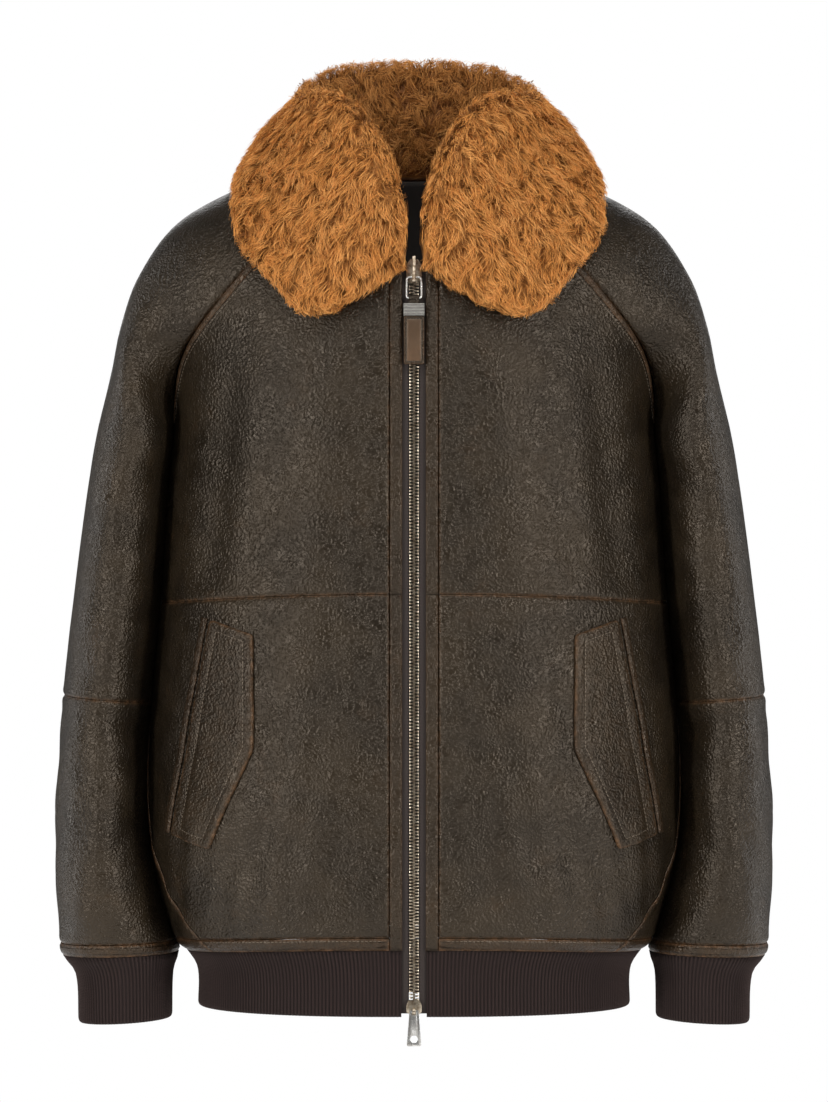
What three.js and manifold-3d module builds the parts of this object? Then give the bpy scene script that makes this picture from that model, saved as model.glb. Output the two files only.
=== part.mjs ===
// A hip-length leather jacket with a fur collar, worn on a hidden form.
// Millimetres, +Z up, the front faces -Y. The origin is the middle of the neck,
// level with the sides of the neckline.
import * as THREE from 'three';
import { mergeVertices } from 'three/addons/utils/BufferGeometryUtils.js';
import Module from 'manifold-3d';

const wasm = await Module();
wasm.setup();

// Driving sizes
const leather = 2.5; // leather with its lining
const seamGap = 0.3; // between pieces that are sewn together
const trimRise = 1.7; // outer face of a strip that lies on a panel
const trimThick = 1.2;
const underarmZ = -228;
const levelStep = 100; // one level below the underarm is this far down
const waistLevel = 2.4;
const edgeTopLevel = 5.17; // upper edge of the hem's leather strip
const edgeEndLevel = 5.27;
const edgeRise = 0.6; // of the leather edge strips over the panels
const elbowLevel = 3.24;
const cuffEdgeTopLevel = 5.3;
const cuffEdgeEndLevel = 5.4;
const hemEndLevel = 5.81;
const cuffEndLevel = 5.95;
const placketOuterX = 19.4;
const placketInnerX = 9.5;
const panelStartX = placketOuterX + seamGap;
const teethHalfWidth = 3.75;
const ribThick = 4;
const ribDepth = 1.1;
const ribPitch = 3;

const group = new THREE.Group();

// Colours and finish of each material
const look = (color, roughness, metalness = 0) => ({ color, roughness, metalness });
const finishes = {
  leather: look(0x3a3028, 0.5),
  leatherEdge: look(0x4a372a, 0.5),
  knit: look(0x372a28, 0.95),
  fur: look(0xb98042, 1),
  tape: look(0x2e211d, 0.9),
  brass: look(0x8f7a52, 0.38, 1),
  steel: look(0xb4b2ad, 0.3, 1),
  tab: look(0x5a463c, 0.55),
  braid: look(0xa7a39a, 0.5, 0.6),
};

function addMesh(name, geometry, finish) {
  const mesh = new THREE.Mesh(geometry, new THREE.MeshStandardMaterial(finishes[finish]));
  mesh.name = name;
  group.add(mesh);
  return mesh;
}

// Tables: a row of named columns for each station, read as a smooth curve
function rows(names, values) {
  const columns = names.split(' ');
  return values.map((row) => Object.fromEntries(columns.map((c, i) => [c, row[i]])));
}

function smooth(table) {
  const columns = Object.keys(table[0]).filter((c) => c !== 'at');
  return (at) => {
    let i = 0;
    while (i < table.length - 2 && at > table[i + 1].at) i += 1;
    const a = table[i];
    const b = table[i + 1];
    const before = table[Math.max(i - 1, 0)];
    const after = table[Math.min(i + 2, table.length - 1)];
    const span = b.at - a.at;
    const t = Math.min(Math.max((at - a.at) / span, 0), 1);
    const value = {};
    for (const c of columns) {
      const startSlope = ((b[c] - before[c]) / (b.at - before.at)) * span;
      const endSlope = ((after[c] - a[c]) / (after.at - a.at)) * span;
      value[c] = (2 * t ** 3 - 3 * t ** 2 + 1) * a[c] + (t ** 3 - 2 * t ** 2 + t) * startSlope
        + (3 * t ** 2 - 2 * t ** 3) * b[c] + (t ** 3 - t ** 2) * endSlope;
    }
    return value;
  };
}

function bezier(a, b, c, d, t) {
  const s = 1 - t;
  return a.clone().multiplyScalar(s ** 3).addScaledVector(b, 3 * s * s * t)
    .addScaledVector(c, 3 * s * t * t).addScaledVector(d, t ** 3);
}

// Levels: 0 at the neckline, 1 at the underarm, then one more for each 100 mm down.
// depth is measured out from the middle plane, towards the front or the back.
// turn and lean are the directions, in plan, in which a level runs into and out of the
// raglan seam, and the pulls are how far it holds those directions, as on a spring curve.
const torsoNames = 'at centreDepth centreZ seamX seamDepth seamZ turn rise pullCentre pullSeam';
const torsoFront = smooth(rows(torsoNames, [
  [0, 100, -90, 72, 48, -36, 70, 0.6, 26, 34],
  [0.25, 106, -122, 108, 70, -73, 30, 0.45, 45, 30],
  [0.5, 111, -152, 141, 78, -107, 24, 0.4, 60, 36],
  [0.7, 114, -180, 176, 60, -149, 36, 0.26, 80, 45],
  [0.85, 116, -203, 192, 36, -176, 62, 0.12, 96, 54],
  [0.93, 117, -216, 198, 15, -202, 78, 0.06, 103, 64],
  [1, 118, -228, 199, -5, -228, 90, 0, 110, 74],
  [1.4, 119, -268, 203, -6, -269, 90, 0, 112, 75],
  [2.1, 122, -338, 207.5, -6, -344, 90, 0, 115, 77],
  [2.4, 124, -368, 210, -6, -376, 90, 0, 116, 78],
  [3.2, 129, -448, 217, -6, -456, 90, 0, 120, 81],
  [4, 133, -528, 220.5, -6, -536, 90, 0, 123, 84],
  [4.5, 132, -578, 217, -6, -586, 90, 0, 121, 83],
  [5, 128, -628, 205, -6, -636, 90, 0, 114, 80],
  [5.2, 124, -648, 197, -6, -656, 90, 0, 110, 77],
  [5.27, 121, -655, 189, -6, -663, 90, 0, 107, 75],
  [5.45, 117.5, -673, 180, -6, -678, 90, 0, 102, 73],
  [5.81, 116.5, -709, 179.5, -6, -709, 90, 0, 101, 72],
]));
const torsoBack = smooth(rows(torsoNames, [
  [0, 78, -20, 60, 62, -8, 40, 0.1, 34, 20],
  [0.25, 92, -62, 104, 78, -58, 30, 0.38, 54, 30],
  [0.5, 102, -108, 142, 82, -100, 26, 0.36, 66, 38],
  [0.7, 108, -148, 176, 66, -142, 38, 0.2, 82, 46],
  [0.85, 112, -182, 192, 46, -172, 60, 0.1, 98, 52],
  [0.93, 113, -206, 198, 28, -200, 76, 0.05, 106, 56],
  [1, 114, -228, 199, 5, -228, 90, 0, 116, 64],
  [1.4, 116, -268, 203, 6, -269, 90, 0, 118, 66],
  [2.1, 117, -344, 207.5, 6, -344, 90, 0, 121, 67],
  [2.4, 118, -376, 210, 6, -376, 90, 0, 122, 68],
  [3.2, 122, -456, 217, 6, -456, 90, 0, 127, 70],
  [4, 125, -536, 220.5, 6, -536, 90, 0, 129, 72],
  [4.5, 124, -586, 217, 6, -586, 90, 0, 127, 71],
  [5, 120, -636, 205, 6, -636, 90, 0, 120, 69],
  [5.2, 115, -656, 197, 6, -656, 90, 0, 115, 66],
  [5.27, 112, -663, 189, 6, -663, 90, 0, 112, 64],
  [5.45, 108.5, -678, 180, 6, -678, 90, 0, 107, 62],
  [5.81, 107.5, -709, 179.5, 6, -709, 90, 0, 106, 61],
]));
const sleeveNames = 'at seamX seamDepth seamZ lean rise pullSeam pullOuter';
const sleeveFront = smooth(rows(sleeveNames, [
  [0, 72, 48, -36, -70, 0.6, 23, 23],
  [0.25, 108, 70, -73, -30, 0.45, 34, 36],
  [0.5, 141, 78, -107, -22, 0.4, 42, 46],
  [0.7, 176, 60, -149, 2, 0.26, 44, 54],
  [0.85, 192, 36, -176, 40, 0.12, 56, 70],
  [0.93, 198, 15, -202, 68, 0.06, 80, 86],
  [1, 199, -5, -228, 90, 0, 99, 99],
  [1.46, 204.2, -7, -274, 90, 0, 105, 105],
  [2.45, 211.4, -8, -376, 90, 0, 106, 106],
  [3.24, 218.9, -9, -458, 90, 0, 105, 105],
  [3.95, 222.1, -9, -528, 90, 0, 102, 102],
  [4.45, 219.3, -9, -576, 90, 0, 98, 98],
  [4.95, 209.2, -9, -622, 90, 0, 91, 91],
  [5.2, 200.4, -9, -646, 90, 0, 84, 84],
  [5.4, 195.5, -9, -665, 90, 0, 76, 76],
  [5.55, 200, -9, -681, 90, 0, 69, 69],
  [5.95, 201, -9, -720, 90, 0, 67, 67],
]));
const sleeveBack = smooth(rows(sleeveNames, [
  [0, 60, 62, -8, -40, 0.1, 23, 23],
  [0.25, 104, 78, -58, -30, 0.38, 36, 38],
  [0.5, 142, 82, -100, -22, 0.36, 44, 48],
  [0.7, 176, 66, -142, -2, 0.2, 46, 56],
  [0.85, 192, 46, -172, 36, 0.1, 56, 72],
  [0.93, 198, 28, -200, 64, 0.05, 78, 86],
  [1, 199, 5, -228, 90, 0, 100, 100],
  [1.46, 204.2, 7, -274, 90, 0, 105, 105],
  [2.45, 211.4, 8, -376, 90, 0, 103, 103],
  [3.24, 218.9, 9, -458, 90, 0, 99, 99],
  [3.95, 222.1, 9, -528, 90, 0, 94, 94],
  [4.45, 219.3, 9, -576, 90, 0, 87, 87],
  [4.95, 209.2, 9, -622, 90, 0, 77, 77],
  [5.2, 200.4, 9, -646, 90, 0, 68, 68],
  [5.4, 195.5, 9, -665, 90, 0, 60, 60],
  [5.55, 200, 9, -681, 90, 0, 54, 54],
  [5.95, 201, 9, -720, 90, 0, 52, 52],
]));
// The sleeve's outer line, from the side of the neck over the shoulder to the hand
const outerLine = smooth(rows('at x y z', [
  [0, 80, 10, 0],
  [0.25, 135, 10, -26],
  [0.5, 196, 10, -60],
  [0.7, 229, 11, -105],
  [0.85, 244, 12, -149],
  [0.93, 251, 12, -184],
  [1, 262, 12, -228],
  [1.46, 270, 12, -274],
  [1.96, 277, 12, -324],
  [2.45, 283, 11, -373],
  [2.95, 289, 11, -423],
  [3.45, 293, 10, -473],
  [3.95, 295.5, 10, -523],
  [4.7, 297, 9, -598],
  [5.2, 295, 9, -648],
  [5.4, 292, 9, -668],
  [5.55, 281.5, 9, -683],
  [5.95, 279, 9, -724],
]));

const radians = THREE.MathUtils.degToRad;
const backStart = 1.00001; // the first share round the body that is counted as back

// A point of the body at a level, from the centre line (share 0) to the seam (share 1)
function torsoPoint(side, at, share) {
  const s = side === 'front' ? -1 : 1;
  const row = (side === 'front' ? torsoFront : torsoBack)(at);
  const startX = side === 'front' ? panelStartX : 0;
  const turn = radians(row.turn);
  const heading = new THREE.Vector3(Math.cos(turn), -s * Math.sin(turn), row.rise);
  const centre = new THREE.Vector3(startX, s * row.centreDepth, row.centreZ);
  const seam = new THREE.Vector3(row.seamX - seamGap / 2, s * row.seamDepth, row.seamZ);
  const afterCentre = centre.clone().add(new THREE.Vector3(row.pullCentre, 0, 0));
  const beforeSeam = seam.clone().addScaledVector(heading, -row.pullSeam);
  return bezier(centre, afterCentre, beforeSeam, seam, share);
}

// A point of the sleeve at a level, from the seam (share 0) to its outer line (share 1)
function sleevePoint(side, at, share) {
  const s = side === 'front' ? -1 : 1;
  const row = (side === 'front' ? sleeveFront : sleeveBack)(at);
  const line = outerLine(at);
  const lean = radians(row.lean);
  const heading = new THREE.Vector3(Math.cos(lean), s * Math.sin(lean), row.rise);
  const seam = new THREE.Vector3(row.seamX + seamGap / 2, s * row.seamDepth, row.seamZ);
  const outer = new THREE.Vector3(line.x, line.y, line.z);
  const afterSeam = seam.clone().addScaledVector(heading, row.pullSeam);
  const beforeOuter = outer.clone().add(new THREE.Vector3(0, s * row.pullOuter, 0));
  return bezier(seam, afterSeam, beforeOuter, outer, share);
}

// Surfaces run down with the level and round with a share that only grows:
// the body from the front centre (0) past the side seam (1) to the back centre (2),
// the sleeve from its inner seam (0) over the outer line (1) back to that seam (2).
const bodySurface = (at, around) => (around <= 1
  ? torsoPoint('front', at, around) : torsoPoint('back', at, 2 - around));
const sleeveSurface = (at, around) => (around <= 1
  ? sleevePoint('front', at, around) : sleevePoint('back', at, 2 - around));

// The large drape folds: from and to as seen from the front, how far the cloth stands
// out there (in, where less than 0), and how wide the fold is
const sleeveFolds = rows('fromX fromZ toX toZ lift width', [
  [222, -110, 206, -206, -4.5, 9],
  [232, -108, 243, -214, 2.5, 9],
  [216, -250, 262, -400, -3, 12],
  [228, -480, 284, -420, -3, 10],
  [240, -520, 276, -640, 2.5, 12],
]);
const bodyFolds = rows('fromX fromZ toX toZ lift width', [
  [60, -190, 84, -350, 2.5, 16],
  [150, -200, 166, -350, -3, 14],
  [88, -400, 96, -600, 2.5, 16],
]);

function foldLift(folds, point) {
  let lift = 0;
  for (const fold of folds) {
    const alongX = fold.toX - fold.fromX;
    const alongZ = fold.toZ - fold.fromZ;
    const length = Math.hypot(alongX, alongZ);
    const along = ((point.x - fold.fromX) * alongX + (point.z - fold.fromZ) * alongZ) / length ** 2;
    const across = ((point.x - fold.fromX) * alongZ - (point.z - fold.fromZ) * alongX) / length;
    const past = Math.max(-along, along - 1, 0) * length;
    lift += fold.lift * Math.exp(-((across / fold.width) ** 2) - (past / (2 * fold.width)) ** 2);
  }
  return lift;
}

// How much of a fold a place takes: none at the seams, so that neighbours still meet
const easeAtEnds = (share, margin) => Math.min(Math.max(Math.min(share, 1 - share) / margin, 0), 1);

function surfaceFrame(surface, at, around, limits) {
  const step = 0.01;
  const up = Math.max(at - step, limits.top);
  const down = Math.min(at + step, limits.end);
  const before = Math.max(around - step, limits.first);
  const after = Math.min(around + step, limits.last);
  const downward = surface(down, around).sub(surface(up, around));
  const onward = surface(at, after).sub(surface(at, before));
  return { point: surface(at, around), normal: downward.cross(onward).normalize() };
}

// Above the underarm the body is open at its sides, where the sleeves are set in
function bodyFrame(at, around) {
  const limits = { top: 0, end: hemEndLevel, first: 0, last: 2 };
  if (at < 1 && around <= 1) limits.last = 1;
  if (at < 1 && around > 1) limits.first = backStart;
  const frame = surfaceFrame(bodySurface, at, around, limits);
  const share = around <= 1 ? around : 2 - around;
  const ease = easeAtEnds(share, 0.25) * easeAtEnds(Math.abs(at - waistLevel) / 2, 0.1);
  frame.point.addScaledVector(frame.normal, foldLift(bodyFolds, frame.point) * ease);
  if (at > edgeTopLevel - 0.1) frame.normal.setZ(0).normalize(); // level at the hem
  return frame;
}

function sleeveFrame(at, around) {
  const limits = { top: 0, end: cuffEndLevel, first: 0, last: 2 };
  const frame = surfaceFrame(sleeveSurface, at, around, limits);
  const ease = easeAtEnds(around / 2, 0.1) * easeAtEnds(Math.abs(at - elbowLevel) / 2, 0.1);
  const onOuterLine = 1 - Math.exp(-(((around - 1) / 0.2) ** 2));
  frame.point.addScaledVector(frame.normal, foldLift(sleeveFolds, frame.point) * ease * onOuterLine);
  if (at > cuffEdgeTopLevel - 0.1) frame.normal.setZ(0).normalize(); // level at the hem
  return frame;
}

// The mirror image of a grid frame, for the other side of the jacket
const mirrored = (frame) => ({
  point: new THREE.Vector3(-frame.point.x, frame.point.y, frame.point.z),
  normal: new THREE.Vector3(-frame.normal.x, frame.normal.y, frame.normal.z),
});

// A wall between two grids of the same size: faces on both, and a rim all round
function wallGeometry(outer, inner, flip) {
  const rowCount = outer.length;
  const columnCount = outer[0].length;
  const positions = [];
  for (const grid of [outer, inner]) {
    for (const line of grid) {
      for (const p of line) positions.push(p.x, p.y, p.z);
    }
  }
  const index = [];
  const outerAt = (i, j) => i * columnCount + j;
  const innerAt = (i, j) => rowCount * columnCount + i * columnCount + j;
  const quad = (a, b, c, d) => {
    if (flip) index.push(a, c, b, a, d, c);
    else index.push(a, b, c, a, c, d);
  };
  for (let i = 0; i < rowCount - 1; i += 1) {
    for (let j = 0; j < columnCount - 1; j += 1) {
      quad(outerAt(i, j), outerAt(i + 1, j), outerAt(i + 1, j + 1), outerAt(i, j + 1));
      quad(innerAt(i, j), innerAt(i, j + 1), innerAt(i + 1, j + 1), innerAt(i + 1, j));
    }
    const last = columnCount - 1;
    quad(outerAt(i, 0), innerAt(i, 0), innerAt(i + 1, 0), outerAt(i + 1, 0));
    quad(outerAt(i, last), outerAt(i + 1, last), innerAt(i + 1, last), innerAt(i, last));
  }
  for (let j = 0; j < columnCount - 1; j += 1) {
    const last = rowCount - 1;
    quad(outerAt(0, j), outerAt(0, j + 1), innerAt(0, j + 1), innerAt(0, j));
    quad(outerAt(last, j), innerAt(last, j), innerAt(last, j + 1), outerAt(last, j + 1));
  }
  const geometry = new THREE.BufferGeometry();
  geometry.setAttribute('position', new THREE.Float32BufferAttribute(positions, 3));
  geometry.setIndex(index);
  return geometry;
}

// A wall whose two faces lie high and low over a surface, at the given levels and shares
function layer(frameAt, levels, shares, high, low, mirror = false) {
  const grids = [high, low].map((lift) => levels.map((at) => shares(at).map((around) => {
    const frame = mirror ? mirrored(frameAt(at, around)) : frameAt(at, around);
    return frame.point.addScaledVector(frame.normal, lift);
  })));
  return wallGeometry(grids[0], grids[1], mirror);
}

const spread = (from, to, count) => (
  Array.from({ length: count + 1 }, (_, i) => from + ((to - from) * i) / count));
const both = [{ side: 'left', mirror: false }, { side: 'right', mirror: true }];

// Half a seam gap, as a part of a level and as a part of the way round
const levelGap = seamGap / 2 / levelStep;
const aroundGap = 0.0009;

// The side seam leaves the side below the pocket and comes forward at the hem
const sideSeam = smooth(rows('at around', [
  [0, 1],
  [3.5, 1],
  [4, 0.94],
  [4.4, 0.875],
  [4.8, 0.79],
  [5.17, 0.655],
  [5.27, 0.63],
]));
const sideSeamAt = (at) => (at < 1 ? 1 : sideSeam(at).around);

// Panels
const raglanLevels = [0, 0.13, 0.25, 0.38, 0.5, 0.6, 0.7, 0.78, 0.85, 0.93, 1];
const upperLevels = [...raglanLevels, 1.4, 1.9, waistLevel - levelGap];
const lowerLevels = [waistLevel + levelGap, 2.9, 3.4, 4, 4.5, 4.85, edgeTopLevel - levelGap];
const frontColumns = 7;
const backColumns = 7;
for (const { side, mirror } of both) {
  const frontShares = (at) => spread(0, sideSeamAt(at) - (at < 1 ? 0 : aroundGap), frontColumns);
  const upper = layer(bodyFrame, upperLevels, frontShares, 0, -leather, mirror);
  addMesh(`front_upper_${side}`, upper, 'leather');
  const lower = layer(bodyFrame, lowerLevels, frontShares, 0, -leather, mirror);
  addMesh(`front_lower_${side}`, lower, 'leather');
}

// The back runs from one side seam over the centre (share 2) to the other side seam
const backFrame = (at, around) => (around <= 2
  ? bodyFrame(at, around) : mirrored(bodyFrame(at, 4 - around)));
const backShares = (at) => {
  const start = at < 1 ? backStart : sideSeamAt(at) + aroundGap;
  return spread(start, 4 - start, backColumns * 2);
};
const backLevels = [...raglanLevels, 1.4, 1.9, 2.4, ...lowerLevels.slice(1)];
addMesh('back', layer(backFrame, backLevels, backShares, 0, -leather), 'leather');

const wholeRound = [...spread(0, 1, 6), ...spread(1, 2, 6).slice(1)];
const sleeveShares = () => wholeRound
  .map((share) => Math.min(Math.max(share, aroundGap), 2 - aroundGap));
const raglanSleeveShares = (at) => (at < 1 ? wholeRound : sleeveShares());
const sleeveUpperLevels = [...raglanLevels, 1.2, 1.6, 2.1, 2.65, elbowLevel - levelGap];
const sleeveLowerLevels = [elbowLevel + levelGap, 3.7, 4.2, 4.7, 5.05, cuffEdgeTopLevel - levelGap];
for (const { side, mirror } of both) {
  const upper = layer(sleeveFrame, sleeveUpperLevels, raglanSleeveShares, 0, -leather, mirror);
  addMesh(`sleeve_upper_${side}`, upper, 'leather');
  const lower = layer(sleeveFrame, sleeveLowerLevels, sleeveShares, 0, -leather, mirror);
  addMesh(`sleeve_lower_${side}`, lower, 'leather');
  const edgeLevels = [cuffEdgeTopLevel + levelGap, cuffEdgeEndLevel];
  const edge = layer(sleeveFrame, edgeLevels, sleeveShares, edgeRise, -leather, mirror);
  addMesh(`sleeve_edge_${side}`, edge, 'leatherEdge');
}

// Leather strip along the hem, in the same three pieces as the panels above it
const hemEdgeLevels = [edgeTopLevel + levelGap, edgeEndLevel];
for (const { side, mirror } of both) {
  const frontShares = (at) => spread(0, sideSeamAt(at) - aroundGap, frontColumns);
  const edge = layer(bodyFrame, hemEdgeLevels, frontShares, edgeRise, -leather, mirror);
  addMesh(`hem_edge_${side}`, edge, 'leatherEdge');
}
addMesh('hem_edge_back', layer(backFrame, hemEdgeLevels, backShares, edgeRise, -leather), 'leatherEdge');

// Covered strips beside the raglan seams, on the body; the strip leaves the seam a little
// near the underarm, where body and sleeve close on each other
const raglanStrip = smooth(rows('at fromSeam', [[0, 3.2], [0.7, 3.2], [0.85, 5], [0.93, 8.5], [1, 12]]));
const stripHalfWidth = 2.6;
const raglanStripLevels = raglanLevels.slice(1);
const sideStripLevels = [3.4, 4, 4.5, 4.85, edgeTopLevel - levelGap];
const sideStripHalfShare = 0.0115;
for (const { side, mirror } of both) {
  for (const face of ['front', 'back']) {
    const seamTable = face === 'front' ? torsoFront : torsoBack;
    const shares = (at) => {
      const perMillimetre = 1 / (3 * seamTable(at).pullSeam);
      const middle = raglanStrip(at).fromSeam;
      const nearSeam = 1 - (middle - stripHalfWidth) * perMillimetre;
      const far = 1 - (middle + stripHalfWidth) * perMillimetre;
      return face === 'front' ? spread(far, nearSeam, 2) : spread(2 - nearSeam, 2 - far, 2);
    };
    const strip = layer(bodyFrame, raglanStripLevels, shares, trimRise, trimRise - trimThick, mirror);
    addMesh(`raglan_strip_${face}_${side}`, strip, 'leatherEdge');
  }
  const sideShares = (at) => {
    const seam = sideSeamAt(at);
    return spread(seam - sideStripHalfShare, seam + sideStripHalfShare, 2);
  };
  const strip = layer(bodyFrame, sideStripLevels, sideShares, trimRise, trimRise - trimThick, mirror);
  addMesh(`side_strip_${side}`, strip, 'leatherEdge');
}

// Where a place on the front, given as seen from the front, lies on the panels
function frontPlace(x, z) {
  let at = (underarmZ - z) / levelStep + 1;
  let around = 0.5;
  for (let pass = 0; pass < 12; pass += 1) {
    let low = 0;
    let high = 1;
    for (let step = 0; step < 30; step += 1) {
      around = (low + high) / 2;
      if (bodySurface(at, around).x < x) low = around;
      else high = around;
    }
    at += (bodySurface(at, around).z - z) / levelStep;
  }
  return { at, around };
}

// Pieces with a straight-sided outline on the front: each row runs from its left end to
// its right end, both given as seen from the front
function frontPiece(outline, columnCount, high, low, mirror) {
  const grids = [high, low].map((lift) => outline.map((row) => spread(0, 1, columnCount).map((share) => {
    const x = row.leftX + (row.rightX - row.leftX) * share;
    const z = row.leftZ + (row.rightZ - row.leftZ) * share;
    const place = frontPlace(x, z);
    const frame = mirror ? mirrored(bodyFrame(place.at, place.around)) : bodyFrame(place.at, place.around);
    return frame.point.addScaledVector(frame.normal, lift);
  })));
  return wallGeometry(grids[0], grids[1], mirror);
}

const trimSeat = trimRise - trimThick; // what lies on a panel stands this far off it
const flapThick = 2.4;
const flapOutline = rows('leftX leftZ rightX rightZ', [
  [132, -400.2, 163, -389.2],
  [130, -403, 165, -392],
  [129.8, -428, 170, -418],
  [129.6, -450, 174.5, -441],
  [129.5, -472, 179.3, -467],
  [129.4, -492, 184, -492],
  [132.5, -500, 185.2, -499],
  [148, -534, 190.5, -529],
  [163, -568, 196, -560],
  [167, -573, 193.5, -563.5],
]);
const weltOutline = rows('leftX leftZ rightX rightZ', [
  [167.6, -388, 172.4, -386.6],
  [171.5, -410, 176.3, -409],
  [175.5, -432, 180.3, -431],
  [180, -456, 184.8, -455.2],
  [184.5, -479, 189.3, -478.4],
  [188.4, -501, 193.2, -500.5],
  [192, -522, 196.8, -521.6],
  [195.3, -541, 200, -540.4],
  [199, -563.5, 203.6, -562.5],
]);
for (const { side, mirror } of both) {
  const flap = frontPiece(flapOutline, 5, trimSeat + flapThick, trimSeat, mirror);
  addMesh(`pocket_flap_${side}`, flap, 'leather');
  const welt = frontPiece(weltOutline, 1, trimRise + 0.5, trimSeat, mirror);
  addMesh(`pocket_welt_${side}`, welt, 'leatherEdge');
}

// Zip: everything here follows the line of the front's centre, at its own distance from it
function centreFrame(at, x) {
  const step = 0.01;
  const above = torsoFront(Math.max(at - step, 0));
  const below = torsoFront(Math.min(at + step, hemEndLevel));
  const row = torsoFront(at);
  const downY = above.centreDepth - below.centreDepth;
  const downZ = below.centreZ - above.centreZ;
  const normal = new THREE.Vector3(0, downZ, -downY).normalize();
  if (at > edgeTopLevel) normal.set(0, -1, 0);
  return { point: new THREE.Vector3(x, -row.centreDepth, row.centreZ), normal };
}

const placketRise = 1;
const placketThick = 2.5;
const tapeHigh = placketRise - placketThick - seamGap;
const tapeThick = 1;
const tapeOuterX = 17.4;
const tapeHemX = 9.9; // outer edge of the tape beside the ribbed hem
const chainHigh = -0.4;
const chainLow = -3.8;
const teethInnerX = seamGap / 2;
const tapeInnerX = teethHalfWidth + seamGap;
const centreLevels = [0.5, 0.7, 0.85, 1, 1.4, 1.9, waistLevel, 2.9, 3.4, 4, 4.5, 4.85, 5.06];
const sliderZ = -107; // middle of the top slider
const chainTopZ = sliderZ - 2.3;
const lowSliderZ = -701.5;
const chainEndZ = lowSliderZ + 0.5;

// The level at which the front's centre reaches a height
function centreLevel(z) {
  let low = 0;
  let high = hemEndLevel;
  for (let step = 0; step < 40; step += 1) {
    const middle = (low + high) / 2;
    if (torsoFront(middle).centreZ > z) low = middle;
    else high = middle;
  }
  return low;
}

const tapeEndLevel = centreLevel(-706);
const between = (from, to) => (
  [from, ...centreLevels.filter((at) => at > from + 0.05 && at < to - 0.05), to]);
// The tapes spread above the top slider
const tapeSpread = smooth(rows('at x', [[0.02, 8], [0.13, 4.6], [0.2, tapeInnerX], [0.5, tapeInnerX]]));
for (const { side, mirror } of both) {
  const placket = () => [placketInnerX, placketOuterX];
  const upper = layer(centreFrame, [0.03, 0.13, 0.25, ...between(0.4, waistLevel - levelGap)], placket,
    placketRise, placketRise - placketThick, mirror);
  addMesh(`placket_upper_${side}`, upper, 'leatherEdge');
  const lower = layer(centreFrame, between(waistLevel + levelGap, edgeEndLevel), placket,
    placketRise, placketRise - placketThick, mirror);
  addMesh(`placket_lower_${side}`, lower, 'leatherEdge');
  const besidePanels = [0.03, 0.13, 0.25, ...between(0.4, edgeEndLevel - 0.02)];
  const tapeLevels = [...besidePanels, edgeEndLevel - 0.01, 5.45, tapeEndLevel];
  const tapeEdges = (at) => [
    at < 0.5 ? tapeSpread(at).x : tapeInnerX,
    at < edgeEndLevel - 0.015 ? tapeOuterX : tapeHemX,
  ];
  const tape = layer(centreFrame, tapeLevels, tapeEdges, tapeHigh, tapeHigh - tapeThick, mirror);
  addMesh(`zip_tape_${side}`, tape, 'tape');
  const chainLevels = [0.25, ...between(0.4, edgeEndLevel), 5.45];
  const teethLevels = [centreLevel(chainTopZ), ...chainLevels, centreLevel(chainEndZ)];
  const teethEdges = () => [teethInnerX, teethHalfWidth];
  const teeth = layer(centreFrame, teethLevels, teethEdges, chainHigh, chainLow, mirror);
  addMesh(`zip_teeth_${side}`, teeth, 'brass');
}

// Ribbed knit: ribs stand out of the band's outer points, and its inside is plain
function stitchRows(index, outerRow, innerRow, flip) {
  let i = 0;
  let j = 0;
  const outerLast = outerRow.length - 1;
  const innerLast = innerRow.length - 1;
  while (i < outerLast || j < innerLast) {
    const outerIsNext = i < outerLast && (i + 1) / outerLast <= (j + 1) / innerLast;
    const takeOuter = j === innerLast || outerIsNext;
    const corner = takeOuter ? outerRow[i + 1] : innerRow[j + 1];
    const triangle = [outerRow[i], corner, innerRow[j]];
    if (flip) triangle.reverse();
    index.push(...triangle);
    if (takeOuter) i += 1;
    else j += 1;
  }
}

function ribBand(pointAt, levels, ribCount, innerCount, closed) {
  const outerCount = ribCount * 2 + (closed ? 0 : 1);
  const positions = [];
  const index = [];
  const add = (p) => positions.push(p.x, p.y, p.z) / 3 - 1;
  const ring = (at, count, lift) => {
    const spans = closed ? count : count - 1;
    const points = Array.from({ length: count }, (_, i) => add(pointAt(at, i / spans, lift(i))));
    return closed ? [...points, points[0]] : points;
  };
  const outer = levels.map((at) => ring(at, outerCount, (i) => (i % 2 ? -ribDepth : 0)));
  const inner = levels.map((at) => ring(at, innerCount + (closed ? 0 : 1), () => -ribThick));
  const quad = (a, b, c, d) => index.push(a, b, c, a, c, d);
  for (let i = 0; i < levels.length - 1; i += 1) {
    for (let j = 0; j < outer[i].length - 1; j += 1) {
      quad(outer[i][j], outer[i + 1][j], outer[i + 1][j + 1], outer[i][j + 1]);
    }
    for (let j = 0; j < inner[i].length - 1; j += 1) {
      quad(inner[i][j], inner[i][j + 1], inner[i + 1][j + 1], inner[i + 1][j]);
    }
    if (!closed) {
      quad(outer[i][0], inner[i][0], inner[i + 1][0], outer[i + 1][0]);
      quad(outer[i].at(-1), outer[i + 1].at(-1), inner[i + 1].at(-1), inner[i].at(-1));
    }
  }
  stitchRows(index, outer[0], inner[0], false);
  stitchRows(index, outer.at(-1), inner.at(-1), true);
  const geometry = new THREE.BufferGeometry();
  geometry.setAttribute('position', new THREE.Float32BufferAttribute(positions, 3));
  geometry.setIndex(index);
  return geometry;
}

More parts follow.
